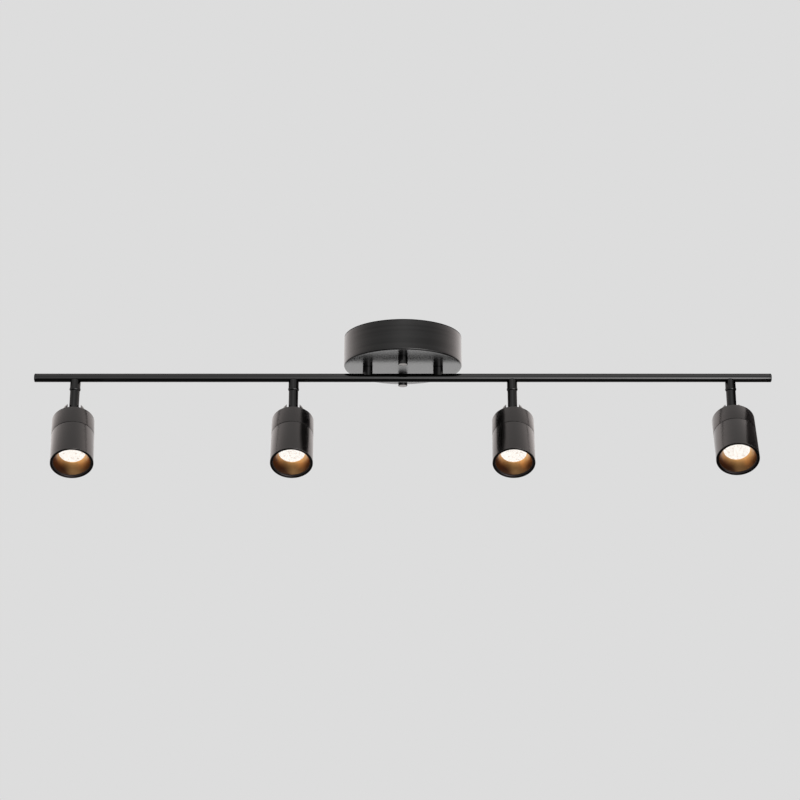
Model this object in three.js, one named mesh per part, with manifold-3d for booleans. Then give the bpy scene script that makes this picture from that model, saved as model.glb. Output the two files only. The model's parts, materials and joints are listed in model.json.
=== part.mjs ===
// Ceiling track light: a canopy, a straight tubular rail on two posts, and four spot heads.
// Millimetres, +Z up. The origin is the middle of the canopy's rim, in the ceiling's plane.
// +X runs along the rail and -Y is the fixture's front.

import * as THREE from 'three';
import { mergeVertices } from 'three/addons/utils/BufferGeometryUtils.js';
import Module from 'manifold-3d';

const wasm = await Module();
wasm.setup();

// ---------------------------------------------------------------- driving dimensions

const FIT_GAP = 0.3; // play between pieces that pass through or seat in each other
const SKIN_GAP = 0.1; // play between a saddle and the round rail that it sits on

const RAIL_LENGTH = 880; // over both end caps
const RAIL_DIAMETER = 10.3;
const RAIL_WALL = 1;
const END_CAP_THICKNESS = 2.4;
const END_CAP_PLUG = 8;
const END_CAP_CHAMFER = 0.5;

const CANOPY_DIAMETER = 141;
const CANOPY_HEIGHT = 37;
const CANOPY_WALL = 1.2;
const CANOPY_EDGE_RADIUS = 1.8;
const CANOPY_TO_RAIL = 13; // from the canopy's underside to the rail's axis

const POST_SPACING = 84.2;
const POST_DIAMETER = 11.8;
const POST_SADDLE_DEPTH = 3.2; // how far the post's foot wraps down past the rail's crown
const POST_NIPPLE_DIAMETER = 9;
const POST_NIPPLE_RISE = 6.5; // above the canopy's floor
const POST_NUT_WIDTH = 15; // across the corners
const POST_NUT_THICKNESS = 4;
const WIRE_WAY_DIAMETER = 5.2;

const STRAP_WIDTH = 22;
const STRAP_THICKNESS = 1.8;
const STRAP_END_MARGIN = 9; // from a stud's centre to the strap's end
const STRAP_CENTRE_HOLE_DIAMETER = 10.4;
const STRAP_SLOT_WIDTH = 4.4;
const STRAP_SLOT_REACH = [22, 36]; // the slot's centres, measured from the middle

const STUD_SPACING = 85.8;
const STUD_DIAMETER = 4;
const STUD_NUT_WIDTH = 8;
const STUD_NUT_THICKNESS = 3.2;
const CAP_NUT_DIAMETER = 11;
const CAP_NUT_LENGTH = 10;
const CAP_NUT_FLOOR = 2.2;
const CAP_NUT_CHAMFER = 0.6;

const DRIVER_INNER_EDGE = 14; // nearest face to the strap
const DRIVER_WIDTH = 35;
const DRIVER_LENGTH = 56;
const DRIVER_TOP_CLEARANCE = 6; // below the ceiling
const DRIVER_FOOT_WIDTH = 14;
const DRIVER_CORNER_RADIUS = 2;
const TERMINAL_INNER_EDGE = 16;
const TERMINAL_WIDTH = 14;
const TERMINAL_LENGTH = 28;
const TERMINAL_HEIGHT = 12;
const TERMINAL_POLES = 3;
const TERMINAL_POLE_PITCH = 9;
const LEAD_DIAMETER = 2.4;
const LEAD_HEIGHT = 5; // of the leads' centres above the canopy's floor
const HARNESS_DIAMETER = 3.2;

const HEAD_COUNT = 4;
const HEAD_END_MARGIN = 49; // from the rail's end to the outermost swivel axis
const SOCKET_DIAMETER = 12.2;
const SOCKET_DROP = 13.5; // from the rail's axis to the socket's lower end
const SOCKET_SADDLE_TOP = 2.5; // the saddle's crown, below the rail's axis
const SOCKET_CEILING = 9.5; // top of the socket's bore, below the rail's axis
const SOCKET_BORE_DIAMETER = 10;
const LOCK_RING_OVERSIZE = 0.8; // on the socket's diameter
const LOCK_RING_HEIGHT = 2.5;
const LOCK_RING_SPIGOT = 1.5;

const STEM_DIAMETER = 11.2;
const STEM_BORE_DIAMETER = 4;
const JOURNAL_DIAMETER = 7;
const FLANGE_THICKNESS = 1.8;
const PIVOT_DROP = 44.6; // from the rail's axis to the tilt pivot
const EYE_OVERSIZE = 0.5; // the eye's diameter over the stem's
const PIVOT_SCREW_DIAMETER = 4;
const PIVOT_HEAD_DIAMETER = 6.6;
const PIVOT_HEAD_THICKNESS = 1.2;

const HEAD_RADIUS = 24.7;
const HEAD_LENGTH = 69.5;
const PIVOT_TO_HEAD = 13.2; // from the tilt pivot to the head's rear face
const EAR_SIDE_GAP = 2.0; // from the stem to each ear
const EAR_THICKNESS = 6.1; // of the round boss, at the pivot
const EAR_FLAT = 1.2; // cut off the boss to give the pivot screw's head a flat seat
const REAR_HOUSING_LENGTH = 25;
const REAR_PLATE = 4;
const SEAM_WIDTH = 0.8;
const HOUSING_WALL = 1.8;
const BARREL_WALL = 1.4;
const BARREL_NECK = 4.5; // how far the barrel's neck reaches into the rear housing
const BARREL_SHOULDER = 2.1; // thickness of the web between neck and tube
const RIM_CHAMFER = 0.6;
const BEZEL_WIDTH = 1.8; // ring between the barrel's wall and the mouth
const BEZEL_HEIGHT = 2.2;
const BEZEL_RECESS = 0.4;
const BEZEL_CHAMFER = 0.9;
const BAFFLE_DEPTH = 13.8;
const BAFFLE_TAPER = 6.0; // the cone narrows by this much in radius
const BAFFLE_WALL = 0.8;
const LENS_EDGE = 1.5;
const LENS_HEIGHT = 7.4;
const LENS_FLANGE = 2.5;
const LENS_BACK_RADIUS = 7;
const LED_BOARD_RADIUS = 14;
const LED_BOARD_THICKNESS = 1.2;
const LED_CHIP_RADIUS = 5.5;
const LED_CHIP_HEIGHT = 0.4;
const HEAT_SINK_PLATE = 10.6;
const HEAT_SINK_COLUMN_RADIUS = 9;

// Each head as it is aimed: turned about its stem, and tilted forward from straight down.
const AIMS = [
  { swivel: 13.6, tilt: 30.5 },
  { swivel: 2.8, tilt: 30.4 },
  { swivel: -3.7, tilt: 30.5 },
  { swivel: -8.0, tilt: 35.0 },
];

const ROUND_LARGE = 40; // facets on the canopy
const ROUND_HEAD = 16; // facets on the heads
const ROUND_SMALL = 12; // facets on the rail, posts, sockets, stems and what the heads hide
const ROUND_WIRE = 6; // facets on wires
const HEXAGON = 6;
const FILLET_STEPS = 2; // facets on a quarter round

// ---------------------------------------------------------------- derived sizes

const railRadius = RAIL_DIAMETER / 2;
const railBore = railRadius - RAIL_WALL;
const railZ = -(CANOPY_HEIGHT + CANOPY_TO_RAIL);
const canopyRadius = CANOPY_DIAMETER / 2;
const canopyFloorZ = -CANOPY_HEIGHT + CANOPY_WALL;
const wireWay = WIRE_WAY_DIAMETER / 2;
const socketRadius = SOCKET_DIAMETER / 2;
const stemRadius = STEM_DIAMETER / 2;
const socketBore = SOCKET_BORE_DIAMETER / 2;
const journalRadius = JOURNAL_DIAMETER / 2;
const eyeRadius = stemRadius + EYE_OVERSIZE / 2;
const slotHalf = stemRadius + EAR_SIDE_GAP;
const bossRadius = slotHalf + EAR_THICKNESS;
const earFace = bossRadius - EAR_FLAT;
const screwRadius = PIVOT_SCREW_DIAMETER / 2;
const screwHeadRadius = PIVOT_HEAD_DIAMETER / 2;
const housingBore = HEAD_RADIUS - HOUSING_WALL;
const barrelBore = HEAD_RADIUS - BARREL_WALL;
const bezelRadius = barrelBore - FIT_GAP;
const mouthRadius = bezelRadius - BEZEL_WIDTH;
const apertureRadius = mouthRadius - BAFFLE_TAPER;
const headSpacing = (RAIL_LENGTH - 2 * HEAD_END_MARGIN) / (HEAD_COUNT - 1);

// Depths along a head's axis, from its rear face towards its mouth.
const bezelBackDepth = HEAD_LENGTH - BEZEL_RECESS - BEZEL_HEIGHT;
const baffleFrontDepth = bezelBackDepth - FIT_GAP;
const baffleBackDepth = baffleFrontDepth - BAFFLE_DEPTH;
const lensFrontDepth = baffleBackDepth - BAFFLE_WALL - FIT_GAP;
const lensBackDepth = lensFrontDepth - LENS_HEIGHT;
const chipFrontDepth = lensBackDepth - FIT_GAP;
const boardFrontDepth = chipFrontDepth - LED_CHIP_HEIGHT;
const boardBackDepth = boardFrontDepth - LED_BOARD_THICKNESS;
const sinkFrontDepth = boardBackDepth - FIT_GAP;

// ---------------------------------------------------------------- finishes

const finish = (color, roughness, metalness) => ({ color, roughness, metalness });
const FINISHES = {
  blackPaint: finish(0x2a2726, 0.38, 0.1),
  blackTrim: finish(0x1c1b1b, 0.45, 0.1),
  steel: finish(0x9a9c9e, 0.35, 0.9),
  aluminium: finish(0xb8babc, 0.45, 0.9),
  bronze: finish(0xb07a3c, 0.35, 0.8),
  diffuser: finish(0xfff4dc, 0.25, 0.0),
  board: finish(0xe9e7e0, 0.6, 0.0),
  whitePlastic: finish(0xdcdad4, 0.5, 0.0),
  greyPlastic: finish(0x55585c, 0.6, 0.0),
  wire: finish(0xc9b27a, 0.6, 0.0),
};

// ---------------------------------------------------------------- solid helpers

/** A closed three.js geometry as a manifold solid: shared corners merged, slivers at poles dropped. */
function toSolid(geometry) {
  const bare = geometry.clone();
  bare.deleteAttribute('normal');
  bare.deleteAttribute('uv');
  const merged = mergeVertices(bare, 1e-4);
  const corners = [];
  for (let i = 0; i < merged.index.count; i += 3) {
    const [a, b, c] = [0, 1, 2].map((k) => merged.index.getX(i + k));
    if (a !== b && b !== c && c !== a) corners.push(a, b, c);
  }
  return new wasm.Manifold(new wasm.Mesh({
    numProp: 3,
    vertProperties: merged.attributes.position.array,
    triVerts: new Uint32Array(corners),
  }));
}

/** The geometry of a manifold solid. */
function toGeometry(solid) {
  const mesh = solid.getMesh();
  const geometry = new THREE.BufferGeometry();
  geometry.setAttribute('position', new THREE.BufferAttribute(mesh.vertProperties, 3));
  geometry.setIndex(new THREE.BufferAttribute(mesh.triVerts, 1));
  geometry.computeVertexNormals();
  return geometry;
}

/** base with every tool added. */
function join(base, ...tools) {
  return toGeometry(tools.reduce((solid, tool) => solid.add(toSolid(tool)), toSolid(base)));
}

/** base with every tool cut away. */
function cut(base, ...tools) {
  return toGeometry(tools.reduce((solid, tool) => solid.subtract(toSolid(tool)), toSolid(base)));
}

/** What base and tool share. */
function overlap(base, tool) {
  return toGeometry(toSolid(base).intersect(toSolid(tool)));
}

/**
 * A turned solid about Z. The profile is a list of [radius, z] that either starts and ends on
 * the axis or is a closed ring; it is put in the order that makes the faces point outwards.
 */
function turned(profile, facets) {
  const points = profile.map(([radius, z]) => new THREE.Vector2(radius, z));
  if (THREE.ShapeUtils.area(points) < 0) points.reverse();
  const onAxis = points[0].x === 0 && points.at(-1).x === 0;
  if (!onAxis) points.push(points[0].clone());
  const geometry = new THREE.LatheGeometry(points, facets);
  return toGeometry(toSolid(geometry.rotateX(Math.PI / 2)));
}

/** A plain round bar about Z between two heights. */
function bar(radius, low, high, facets) {
  return turned([[0, low], [radius, low], [radius, high], [0, high]], facets);
}

/** A plain round bar along X between two stations. */
function barAlongX(radius, from, to, facets) {
  return bar(radius, from, to, facets).rotateY(Math.PI / 2);
}

/** A box between two opposite corners. */
function block(low, high) {
  const size = high.map((value, axis) => value - low[axis]);
  const middle = high.map((value, axis) => (value + low[axis]) / 2);
  return new THREE.BoxGeometry(...size).translate(...middle);
}

/** A flat outline in X and Y, given depth between two heights. */
function plate(outline, low, high) {
  const options = { depth: high - low, bevelEnabled: false, curveSegments: FILLET_STEPS };
  return new THREE.ExtrudeGeometry(outline, options).translate(0, 0, low);
}

/** An outline with rounded corners about a centre. */
function roundedOutline(centreX, centreY, width, length, radius) {
  const [x, y] = [width / 2 - radius, length / 2 - radius];
  const outline = new THREE.Shape();
  outline.absarc(centreX + x, centreY - y, radius, -Math.PI / 2, 0);
  outline.absarc(centreX + x, centreY + y, radius, 0, Math.PI / 2);
  outline.absarc(centreX - x, centreY + y, radius, Math.PI / 2, Math.PI);
  outline.absarc(centreX - x, centreY - y, radius, Math.PI, 1.5 * Math.PI);
  return outline;
}

/** Points of a quarter round, from one angle to another, about a centre. */
function arc(centreX, centreZ, radius, from, to, steps) {
  return Array.from({ length: steps + 1 }, (_, i) => {
    const angle = THREE.MathUtils.degToRad(from + ((to - from) * i) / steps);
    return [centreX + radius * Math.cos(angle), centreZ + radius * Math.sin(angle)];
  });
}

const fixture = new THREE.Group();

/** Adds one named piece to a group. */
function addPiece(parent, name, geometry, look) {
  const piece = new THREE.Mesh(geometry, new THREE.MeshStandardMaterial(look));
  piece.name = name;
  parent.add(piece);
}

// ---------------------------------------------------------------- canopy and ceiling strap

/** The two places along an axis, with the word that names each. */
function pairAlong(spacing, lowName, highName) {
  return [[lowName, -spacing / 2], [highName, spacing / 2]];
}

const postPlaces = pairAlong(POST_SPACING, 'left', 'right');
const studPlaces = pairAlong(STUD_SPACING, 'front', 'rear');

function canopyCover() {
  const edge = Math.min(CANOPY_EDGE_RADIUS, CANOPY_HEIGHT / 3);
  const innerRadius = canopyRadius - CANOPY_WALL;
  const innerEdge = Math.max(edge - CANOPY_WALL, 0.4);
  const cover = turned([
    [0, -CANOPY_HEIGHT],
    ...arc(canopyRadius - edge, edge - CANOPY_HEIGHT, edge, -90, 0, FILLET_STEPS),
    [canopyRadius, 0],
    [innerRadius, 0],
    ...arc(innerRadius - innerEdge, canopyFloorZ + innerEdge, innerEdge, 0, -90, 1),
    [0, canopyFloorZ],
  ], ROUND_LARGE);
  const hole = (radius) => bar(radius, -CANOPY_HEIGHT - 1, canopyFloorZ + 1, ROUND_SMALL);
  const postHoles = postPlaces.map(([, x]) => hole(POST_NIPPLE_DIAMETER / 2 + FIT_GAP).translate(x, 0, 0));
  const studHoles = studPlaces.map(([, y]) => hole(STUD_DIAMETER / 2 + FIT_GAP).translate(0, y, 0));
  return cut(cover, ...postHoles, ...studHoles);
}

function ceilingStrap() {
  const length = STUD_SPACING + 2 * STRAP_END_MARGIN;
  const outline = roundedOutline(0, 0, STRAP_WIDTH, length, STRAP_WIDTH / 4);
  const punch = (radius, y) => bar(radius, -STRAP_THICKNESS - 1, 1, ROUND_SMALL).translate(0, y, 0);
  const [slotStart, slotEnd] = STRAP_SLOT_REACH;
  const slots = [-1, 1].map((side) => {
    const middle = (side * (slotStart + slotEnd)) / 2;
    const slotLength = slotEnd - slotStart + STRAP_SLOT_WIDTH;
    const slot = roundedOutline(0, middle, STRAP_SLOT_WIDTH, slotLength, STRAP_SLOT_WIDTH / 2 - 0.01);
    return plate(slot, -STRAP_THICKNESS - 1, 1);
  });
  const studHoles = studPlaces.map(([, y]) => punch(STUD_DIAMETER / 2 + FIT_GAP, y));
  return cut(
    plate(outline, -STRAP_THICKNESS, 0),
    punch(STRAP_CENTRE_HOLE_DIAMETER / 2, 0),
    ...studHoles,
    ...slots,
  );
}

/** Threaded rod through the strap, with the hexagonal lock nut that clamps under it. */
function canopyStud() {
  const foot = -(CANOPY_HEIGHT + CAP_NUT_LENGTH - CAP_NUT_FLOOR - FIT_GAP);
  const rod = bar(STUD_DIAMETER / 2, foot, -FIT_GAP, ROUND_SMALL);
  const nutTop = -STRAP_THICKNESS;
  return join(rod, bar(STUD_NUT_WIDTH / 2, nutTop - STUD_NUT_THICKNESS, nutTop, HEXAGON));
}

/** Blind cylindrical nut under the canopy. */
function capNut() {
  const radius = CAP_NUT_DIAMETER / 2;
  const bore = STUD_DIAMETER / 2 + FIT_GAP;
  const foot = -(CANOPY_HEIGHT + CAP_NUT_LENGTH);
  return turned([
    [0, foot],
    [radius - CAP_NUT_CHAMFER, foot],
    [radius, foot + CAP_NUT_CHAMFER],
    [radius, -CANOPY_HEIGHT],
    [bore, -CANOPY_HEIGHT],
    [bore, foot + CAP_NUT_FLOOR],
    [0, foot + CAP_NUT_FLOOR],
  ], ROUND_SMALL);
}

addPiece(fixture, 'canopy_cover', canopyCover(), FINISHES.blackPaint);
addPiece(fixture, 'ceiling_strap', ceilingStrap(), FINISHES.steel);
for (const [side, y] of studPlaces) {
  addPiece(fixture, `stud_${side}`, canopyStud().translate(0, y, 0), FINISHES.steel);
  addPiece(fixture, `cap_nut_${side}`, capNut().translate(0, y, 0), FINISHES.blackPaint);
}

// ---------------------------------------------------------------- posts

/** The space that the rail takes, with the play that a saddle leaves round it. */
function railSpace() {
  return barAlongX(railRadius + SKIN_GAP, -RAIL_LENGTH / 2, RAIL_LENGTH / 2, ROUND_SMALL)
    .translate(0, 0, railZ);
}

/** Hollow post with a threaded nipple through the canopy and a saddle over the rail. */
function post(x) {
  const foot = railZ + railRadius - POST_SADDLE_DEPTH;
  const nippleTop = canopyFloorZ + POST_NIPPLE_RISE;
  const body = turned([
    [wireWay, foot],
    [POST_DIAMETER / 2, foot],
    [POST_DIAMETER / 2, -CANOPY_HEIGHT],
    [POST_NIPPLE_DIAMETER / 2, -CANOPY_HEIGHT],
    [POST_NIPPLE_DIAMETER / 2, nippleTop],
    [wireWay, nippleTop],
  ], ROUND_SMALL).translate(x, 0, 0);
  return cut(body, railSpace());
}

/** Hexagonal nut that holds a post's nipple to the canopy's floor. */
function postNut(x) {
  const top = canopyFloorZ + POST_NUT_THICKNESS;
  const nut = bar(POST_NUT_WIDTH / 2, canopyFloorZ, top, HEXAGON);
  const bore = bar(POST_NIPPLE_DIAMETER / 2 + SKIN_GAP, canopyFloorZ - 1, top + 1, ROUND_SMALL);
  return cut(nut, bore).translate(x, 0, 0);
}

for (const [side, x] of postPlaces) {
  addPiece(fixture, `post_${side}`, post(x), FINISHES.blackPaint);
  addPiece(fixture, `post_nut_${side}`, postNut(x), FINISHES.steel);
}

// ---------------------------------------------------------------- driver and terminal block

/** Driver box on two feet that straddle the post's nut and the wires. */
function driverCase() {
  const outline = roundedOutline(
    DRIVER_INNER_EDGE + DRIVER_WIDTH / 2, 0, DRIVER_WIDTH, DRIVER_LENGTH, DRIVER_CORNER_RADIUS,
  );
  const channelHalf = DRIVER_LENGTH / 2 - DRIVER_FOOT_WIDTH;
  const channelRoof = canopyFloorZ + POST_NIPPLE_RISE + 2;
  const channel = block(
    [DRIVER_INNER_EDGE - 1, -channelHalf, canopyFloorZ - 1],
    [DRIVER_INNER_EDGE + DRIVER_WIDTH + 1, channelHalf, channelRoof],
  );
  return cut(plate(outline, canopyFloorZ, -DRIVER_TOP_CLEARANCE), channel);
}

/** Screw terminal block with the leads that run from it, under the strap, to the driver. */
function terminalBlock() {
  const housing = block(
    [-TERMINAL_INNER_EDGE - TERMINAL_WIDTH, -TERMINAL_LENGTH / 2, canopyFloorZ],
    [-TERMINAL_INNER_EDGE, TERMINAL_LENGTH / 2, canopyFloorZ + TERMINAL_HEIGHT],
  );
  const polePlaces = Array.from({ length: TERMINAL_POLES }, (_, pole) => (
    (pole - (TERMINAL_POLES - 1) / 2) * TERMINAL_POLE_PITCH
  ));
  const leadZ = canopyFloorZ + LEAD_HEIGHT;
  const clampScrewDepth = 3;
  const wells = polePlaces.map((y) => (
    bar(LEAD_DIAMETER, canopyFloorZ + TERMINAL_HEIGHT - clampScrewDepth, 0, ROUND_WIRE)
      .translate(-TERMINAL_INNER_EDGE - TERMINAL_WIDTH / 2, y, 0)
  ));
  const leadEnd = DRIVER_INNER_EDGE + DRIVER_WIDTH / 4;
  const leads = polePlaces.map((y) => (
    barAlongX(LEAD_DIAMETER / 2, -TERMINAL_INNER_EDGE - 1, leadEnd, ROUND_WIRE).translate(0, y, leadZ)
  ));
  return join(cut(housing, ...wells), ...leads);
}

addPiece(fixture, 'driver_case', driverCase(), FINISHES.whitePlastic);
addPiece(fixture, 'terminal_block', terminalBlock(), FINISHES.greyPlastic);

// ---------------------------------------------------------------- rail

const headPlaces = Array.from({ length: HEAD_COUNT }, (_, i) => (i - (HEAD_COUNT - 1) / 2) * headSpacing);
const tubeEnd = RAIL_LENGTH / 2 - END_CAP_THICKNESS;

/** Tube along X, pierced from above under the posts and from below over the sockets. */
function railTube() {
  const tube = turned([
    [railBore, -tubeEnd],
    [railRadius, -tubeEnd],
    [railRadius, tubeEnd],
    [railBore, tubeEnd],
  ], ROUND_SMALL).rotateY(Math.PI / 2);
  const upperHoles = postPlaces.map(([, x]) => bar(wireWay, 0, RAIL_DIAMETER, ROUND_SMALL).translate(x, 0, 0));
  const lowerHoles = headPlaces.map((x) => bar(wireWay, -RAIL_DIAMETER, 0, ROUND_SMALL).translate(x, 0, 0));
  return cut(tube, ...upperHoles, ...lowerHoles).translate(0, 0, railZ);
}

/** Cap with a plug that pushes into the rail's end; side is -1 or 1. */
function endCap(side) {
  const cap = turned([
    [0, tubeEnd - END_CAP_PLUG],
    [railBore - FIT_GAP, tubeEnd - END_CAP_PLUG],
    [railBore - FIT_GAP, tubeEnd],
    [railRadius, tubeEnd],
    [railRadius, RAIL_LENGTH / 2 - END_CAP_CHAMFER],
    [railRadius - END_CAP_CHAMFER, RAIL_LENGTH / 2],
    [0, RAIL_LENGTH / 2],
  ], ROUND_SMALL);
  return cap.rotateY((side * Math.PI) / 2).translate(0, 0, railZ);
}

/** Wire loom: along the rail, down into each socket, and up the right-hand post to the driver. */
function railWiring() {
  const radius = HARNESS_DIAMETER / 2;
  const reach = headPlaces.at(-1) + radius;
  const trunk = barAlongX(radius, -reach, reach, ROUND_WIRE).translate(0, 0, railZ);
  const dropFoot = railZ - SOCKET_CEILING + FIT_GAP;
  const drops = headPlaces.map((x) => bar(radius, dropFoot, railZ, ROUND_WIRE).translate(x, 0, 0));
  const riserTop = canopyFloorZ + POST_NIPPLE_RISE + 2 - FIT_GAP;
  const [, rightPost] = postPlaces[1];
  const riser = bar(radius, railZ, riserTop, ROUND_WIRE).translate(rightPost, 0, 0);
  return join(trunk, riser, ...drops);
}

addPiece(fixture, 'rail_tube', railTube(), FINISHES.blackPaint);
addPiece(fixture, 'end_cap_left', endCap(-1), FINISHES.blackPaint);
addPiece(fixture, 'end_cap_right', endCap(1), FINISHES.blackPaint);
addPiece(fixture, 'rail_wiring', railWiring(), FINISHES.wire);

// ---------------------------------------------------------------- sockets and swivels
// Heights here are measured from the rail's axis.

/** Socket under the rail: its saddle's crown is arched and its bore takes the stem's flange. */
function socket(x) {
  const body = turned([
    [wireWay, -SOCKET_CEILING],
    [wireWay, 0],
    [socketRadius, 0],
    [socketRadius, -SOCKET_DROP],
    [socketBore, -SOCKET_DROP],
    [socketBore, -SOCKET_CEILING],
  ], ROUND_SMALL);
  const rise = railRadius - SOCKET_SADDLE_TOP;
  const archRadius = (socketRadius ** 2 + rise ** 2) / (2 * rise);
  const archCentre = -SOCKET_SADDLE_TOP - archRadius;
  const outline = new THREE.Shape();
  const spread = Math.asin(socketRadius / archRadius);
  outline.moveTo(-socketRadius - 1, -SOCKET_DROP - 1);
  outline.lineTo(socketRadius + 1, -SOCKET_DROP - 1);
  outline.lineTo(socketRadius + 1, -railRadius);
  outline.absarc(0, archCentre, archRadius, Math.PI / 2 - spread, Math.PI / 2 + spread);
  outline.lineTo(-socketRadius - 1, -railRadius);
  const options = { depth: 2 * socketRadius + 2, bevelEnabled: false, curveSegments: HEXAGON };
  const arch = new THREE.ExtrudeGeometry(outline, options)
    .rotateX(Math.PI / 2)
    .translate(0, socketRadius + 1, 0);
  return cut(overlap(body, arch).translate(x, 0, railZ), railSpace());
}

/** Ring that closes the socket under the stem's flange. */
function lockRing() {
  const hole = journalRadius + FIT_GAP;
  const outer = socketRadius + LOCK_RING_OVERSIZE / 2;
  const spigot = socketBore - SKIN_GAP;
  const foot = -SOCKET_DROP - LOCK_RING_HEIGHT;
  return turned([
    [hole, -SOCKET_DROP + LOCK_RING_SPIGOT],
    [spigot, -SOCKET_DROP + LOCK_RING_SPIGOT],
    [spigot, -SOCKET_DROP],
    [outer, -SOCKET_DROP],
    [outer, foot + RIM_CHAMFER],
    [outer - RIM_CHAMFER, foot],
    [hole, foot],
  ], ROUND_SMALL);
}

/** Stem that swivels in the socket; its eye takes the tilt pivot's screw. */
function arm() {
  const flangeFoot = -SOCKET_DROP + LOCK_RING_SPIGOT + FIT_GAP;
  const shoulder = -SOCKET_DROP - LOCK_RING_HEIGHT - FIT_GAP;
  const stem = turned([
    [0, -PIVOT_DROP],
    [stemRadius, -PIVOT_DROP],
    [stemRadius, shoulder],
    [journalRadius, shoulder],
    [journalRadius, flangeFoot],
    [socketBore - FIT_GAP, flangeFoot],
    [socketBore - FIT_GAP, flangeFoot + FLANGE_THICKNESS],
    [0, flangeFoot + FLANGE_THICKNESS],
  ], ROUND_SMALL);
  const eyeHalf = slotHalf - FIT_GAP;
  const eye = barAlongX(eyeRadius, -eyeHalf, eyeHalf, ROUND_SMALL).translate(0, 0, -PIVOT_DROP);
  const pivotHole = barAlongX(screwRadius + FIT_GAP, -slotHalf, slotHalf, ROUND_SMALL)
    .translate(0, 0, -PIVOT_DROP);
  const bore = bar(STEM_BORE_DIAMETER / 2, -PIVOT_DROP, 0, ROUND_WIRE);
  return cut(join(stem, eye), bore, pivotHole);
}

// ---------------------------------------------------------------- head
// A head's own frame has its origin on the tilt pivot, X along the pivot and the mouth at -Z.

/** Ring or disc of a head, from [radius, depth] pairs; depth runs from the rear face to the mouth. */
function headTurned(profile, facets = ROUND_HEAD) {
  return turned(profile.map(([radius, depth]) => [radius, -(PIVOT_TO_HEAD + depth)]), facets);
}

/** Rear housing: a cup with two ears that straddle the arm's eye. */
function rearHousing() {
  const rim = REAR_HOUSING_LENGTH - SEAM_WIDTH / 2;
  const cup = headTurned([
    [0, 0],
    [HEAD_RADIUS - RIM_CHAMFER, 0],
    [HEAD_RADIUS, RIM_CHAMFER],
    [HEAD_RADIUS, rim],
    [housingBore, rim],
    [housingBore, REAR_PLATE],
    [0, REAR_PLATE],
  ]);
  const boss = turned([
    [0, -PIVOT_TO_HEAD - REAR_PLATE / 2],
    [bossRadius, -PIVOT_TO_HEAD - REAR_PLATE / 2],
    ...arc(0, 0, bossRadius, 0, 90, 2 * FILLET_STEPS).slice(0, -1),
    [0, bossRadius],
  ], ROUND_SMALL);
  const slot = block(
    [-slotHalf, -HEAD_RADIUS, -PIVOT_TO_HEAD],
    [slotHalf, HEAD_RADIUS, bossRadius + 1],
  );
  const flats = [[-bossRadius - 1, -earFace], [earFace, bossRadius + 1]].map(([from, to]) => (
    block([from, -HEAD_RADIUS, -PIVOT_TO_HEAD], [to, HEAD_RADIUS, bossRadius + 1])
  ));
  const pivotHole = barAlongX(screwRadius + FIT_GAP, -bossRadius, bossRadius, ROUND_SMALL);
  const wireHole = bar(wireWay, -PIVOT_TO_HEAD - REAR_PLATE - 1, -PIVOT_TO_HEAD + 1, ROUND_SMALL);
  return cut(join(cup, cut(boss, slot, ...flats)), pivotHole, wireHole);
}

/** Screw and nut of the tilt pivot, seated on the ears' flats. */
function pivotScrew() {
  const seat = earFace + FIT_GAP / 2;
  const end = seat + PIVOT_HEAD_THICKNESS;
  return turned([
    [0, -end],
    [screwHeadRadius, -end],
    [screwHeadRadius, -seat],
    [screwRadius, -seat],
    [screwRadius, seat],
    [screwHeadRadius, seat],
    [screwHeadRadius, end],
    [0, end],
  ], ROUND_SMALL).rotateY(Math.PI / 2);
}

/** Front tube with a neck that plugs into the rear housing. */
function barrel() {
  const shoulder = REAR_HOUSING_LENGTH + SEAM_WIDTH / 2;
  const neckRadius = housingBore - FIT_GAP;
  const neckBore = neckRadius - BARREL_WALL;
  return headTurned([
    [HEAD_RADIUS, shoulder],
    [HEAD_RADIUS, HEAD_LENGTH - RIM_CHAMFER],
    [HEAD_RADIUS - RIM_CHAMFER, HEAD_LENGTH],
    [barrelBore, HEAD_LENGTH],
    [barrelBore, shoulder + BARREL_SHOULDER],
    [neckBore, shoulder + BARREL_SHOULDER],
    [neckBore, REAR_HOUSING_LENGTH - BARREL_NECK],
    [neckRadius, REAR_HOUSING_LENGTH - BARREL_NECK],
    [neckRadius, shoulder],
  ]);
}

/** Ring inside the mouth, with a chamfer that leads into the baffle. */
function bezel() {
  const front = HEAD_LENGTH - BEZEL_RECESS;
  return headTurned([
    [bezelRadius, bezelBackDepth],
    [bezelRadius, front],
    [mouthRadius + BEZEL_CHAMFER, front],
    [mouthRadius, front - BEZEL_CHAMFER],
    [mouthRadius, bezelBackDepth],
  ]);
}

/** Conical anti-glare baffle with a flange behind the bezel. */
function baffle() {
  return headTurned([
    [mouthRadius, baffleFrontDepth],
    [bezelRadius, baffleFrontDepth],
    [bezelRadius, baffleFrontDepth - BAFFLE_WALL],
    [mouthRadius + BAFFLE_WALL, baffleFrontDepth - BAFFLE_WALL],
    [apertureRadius + BAFFLE_WALL, baffleBackDepth - BAFFLE_WALL],
    [apertureRadius, baffleBackDepth - BAFFLE_WALL],
    [apertureRadius, baffleBackDepth],
  ]);
}

/** Collimating lens: a flanged disc in front of a cone that gathers the light. */
function lens() {
  const bodyRadius = apertureRadius + 1;
  return headTurned([
    [0, lensFrontDepth],
    [bodyRadius + LENS_FLANGE, lensFrontDepth],
    [bodyRadius + LENS_FLANGE, lensFrontDepth - LENS_EDGE],
    [bodyRadius, lensFrontDepth - LENS_EDGE],
    [LENS_BACK_RADIUS, lensBackDepth],
    [0, lensBackDepth],
  ]);
}

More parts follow.
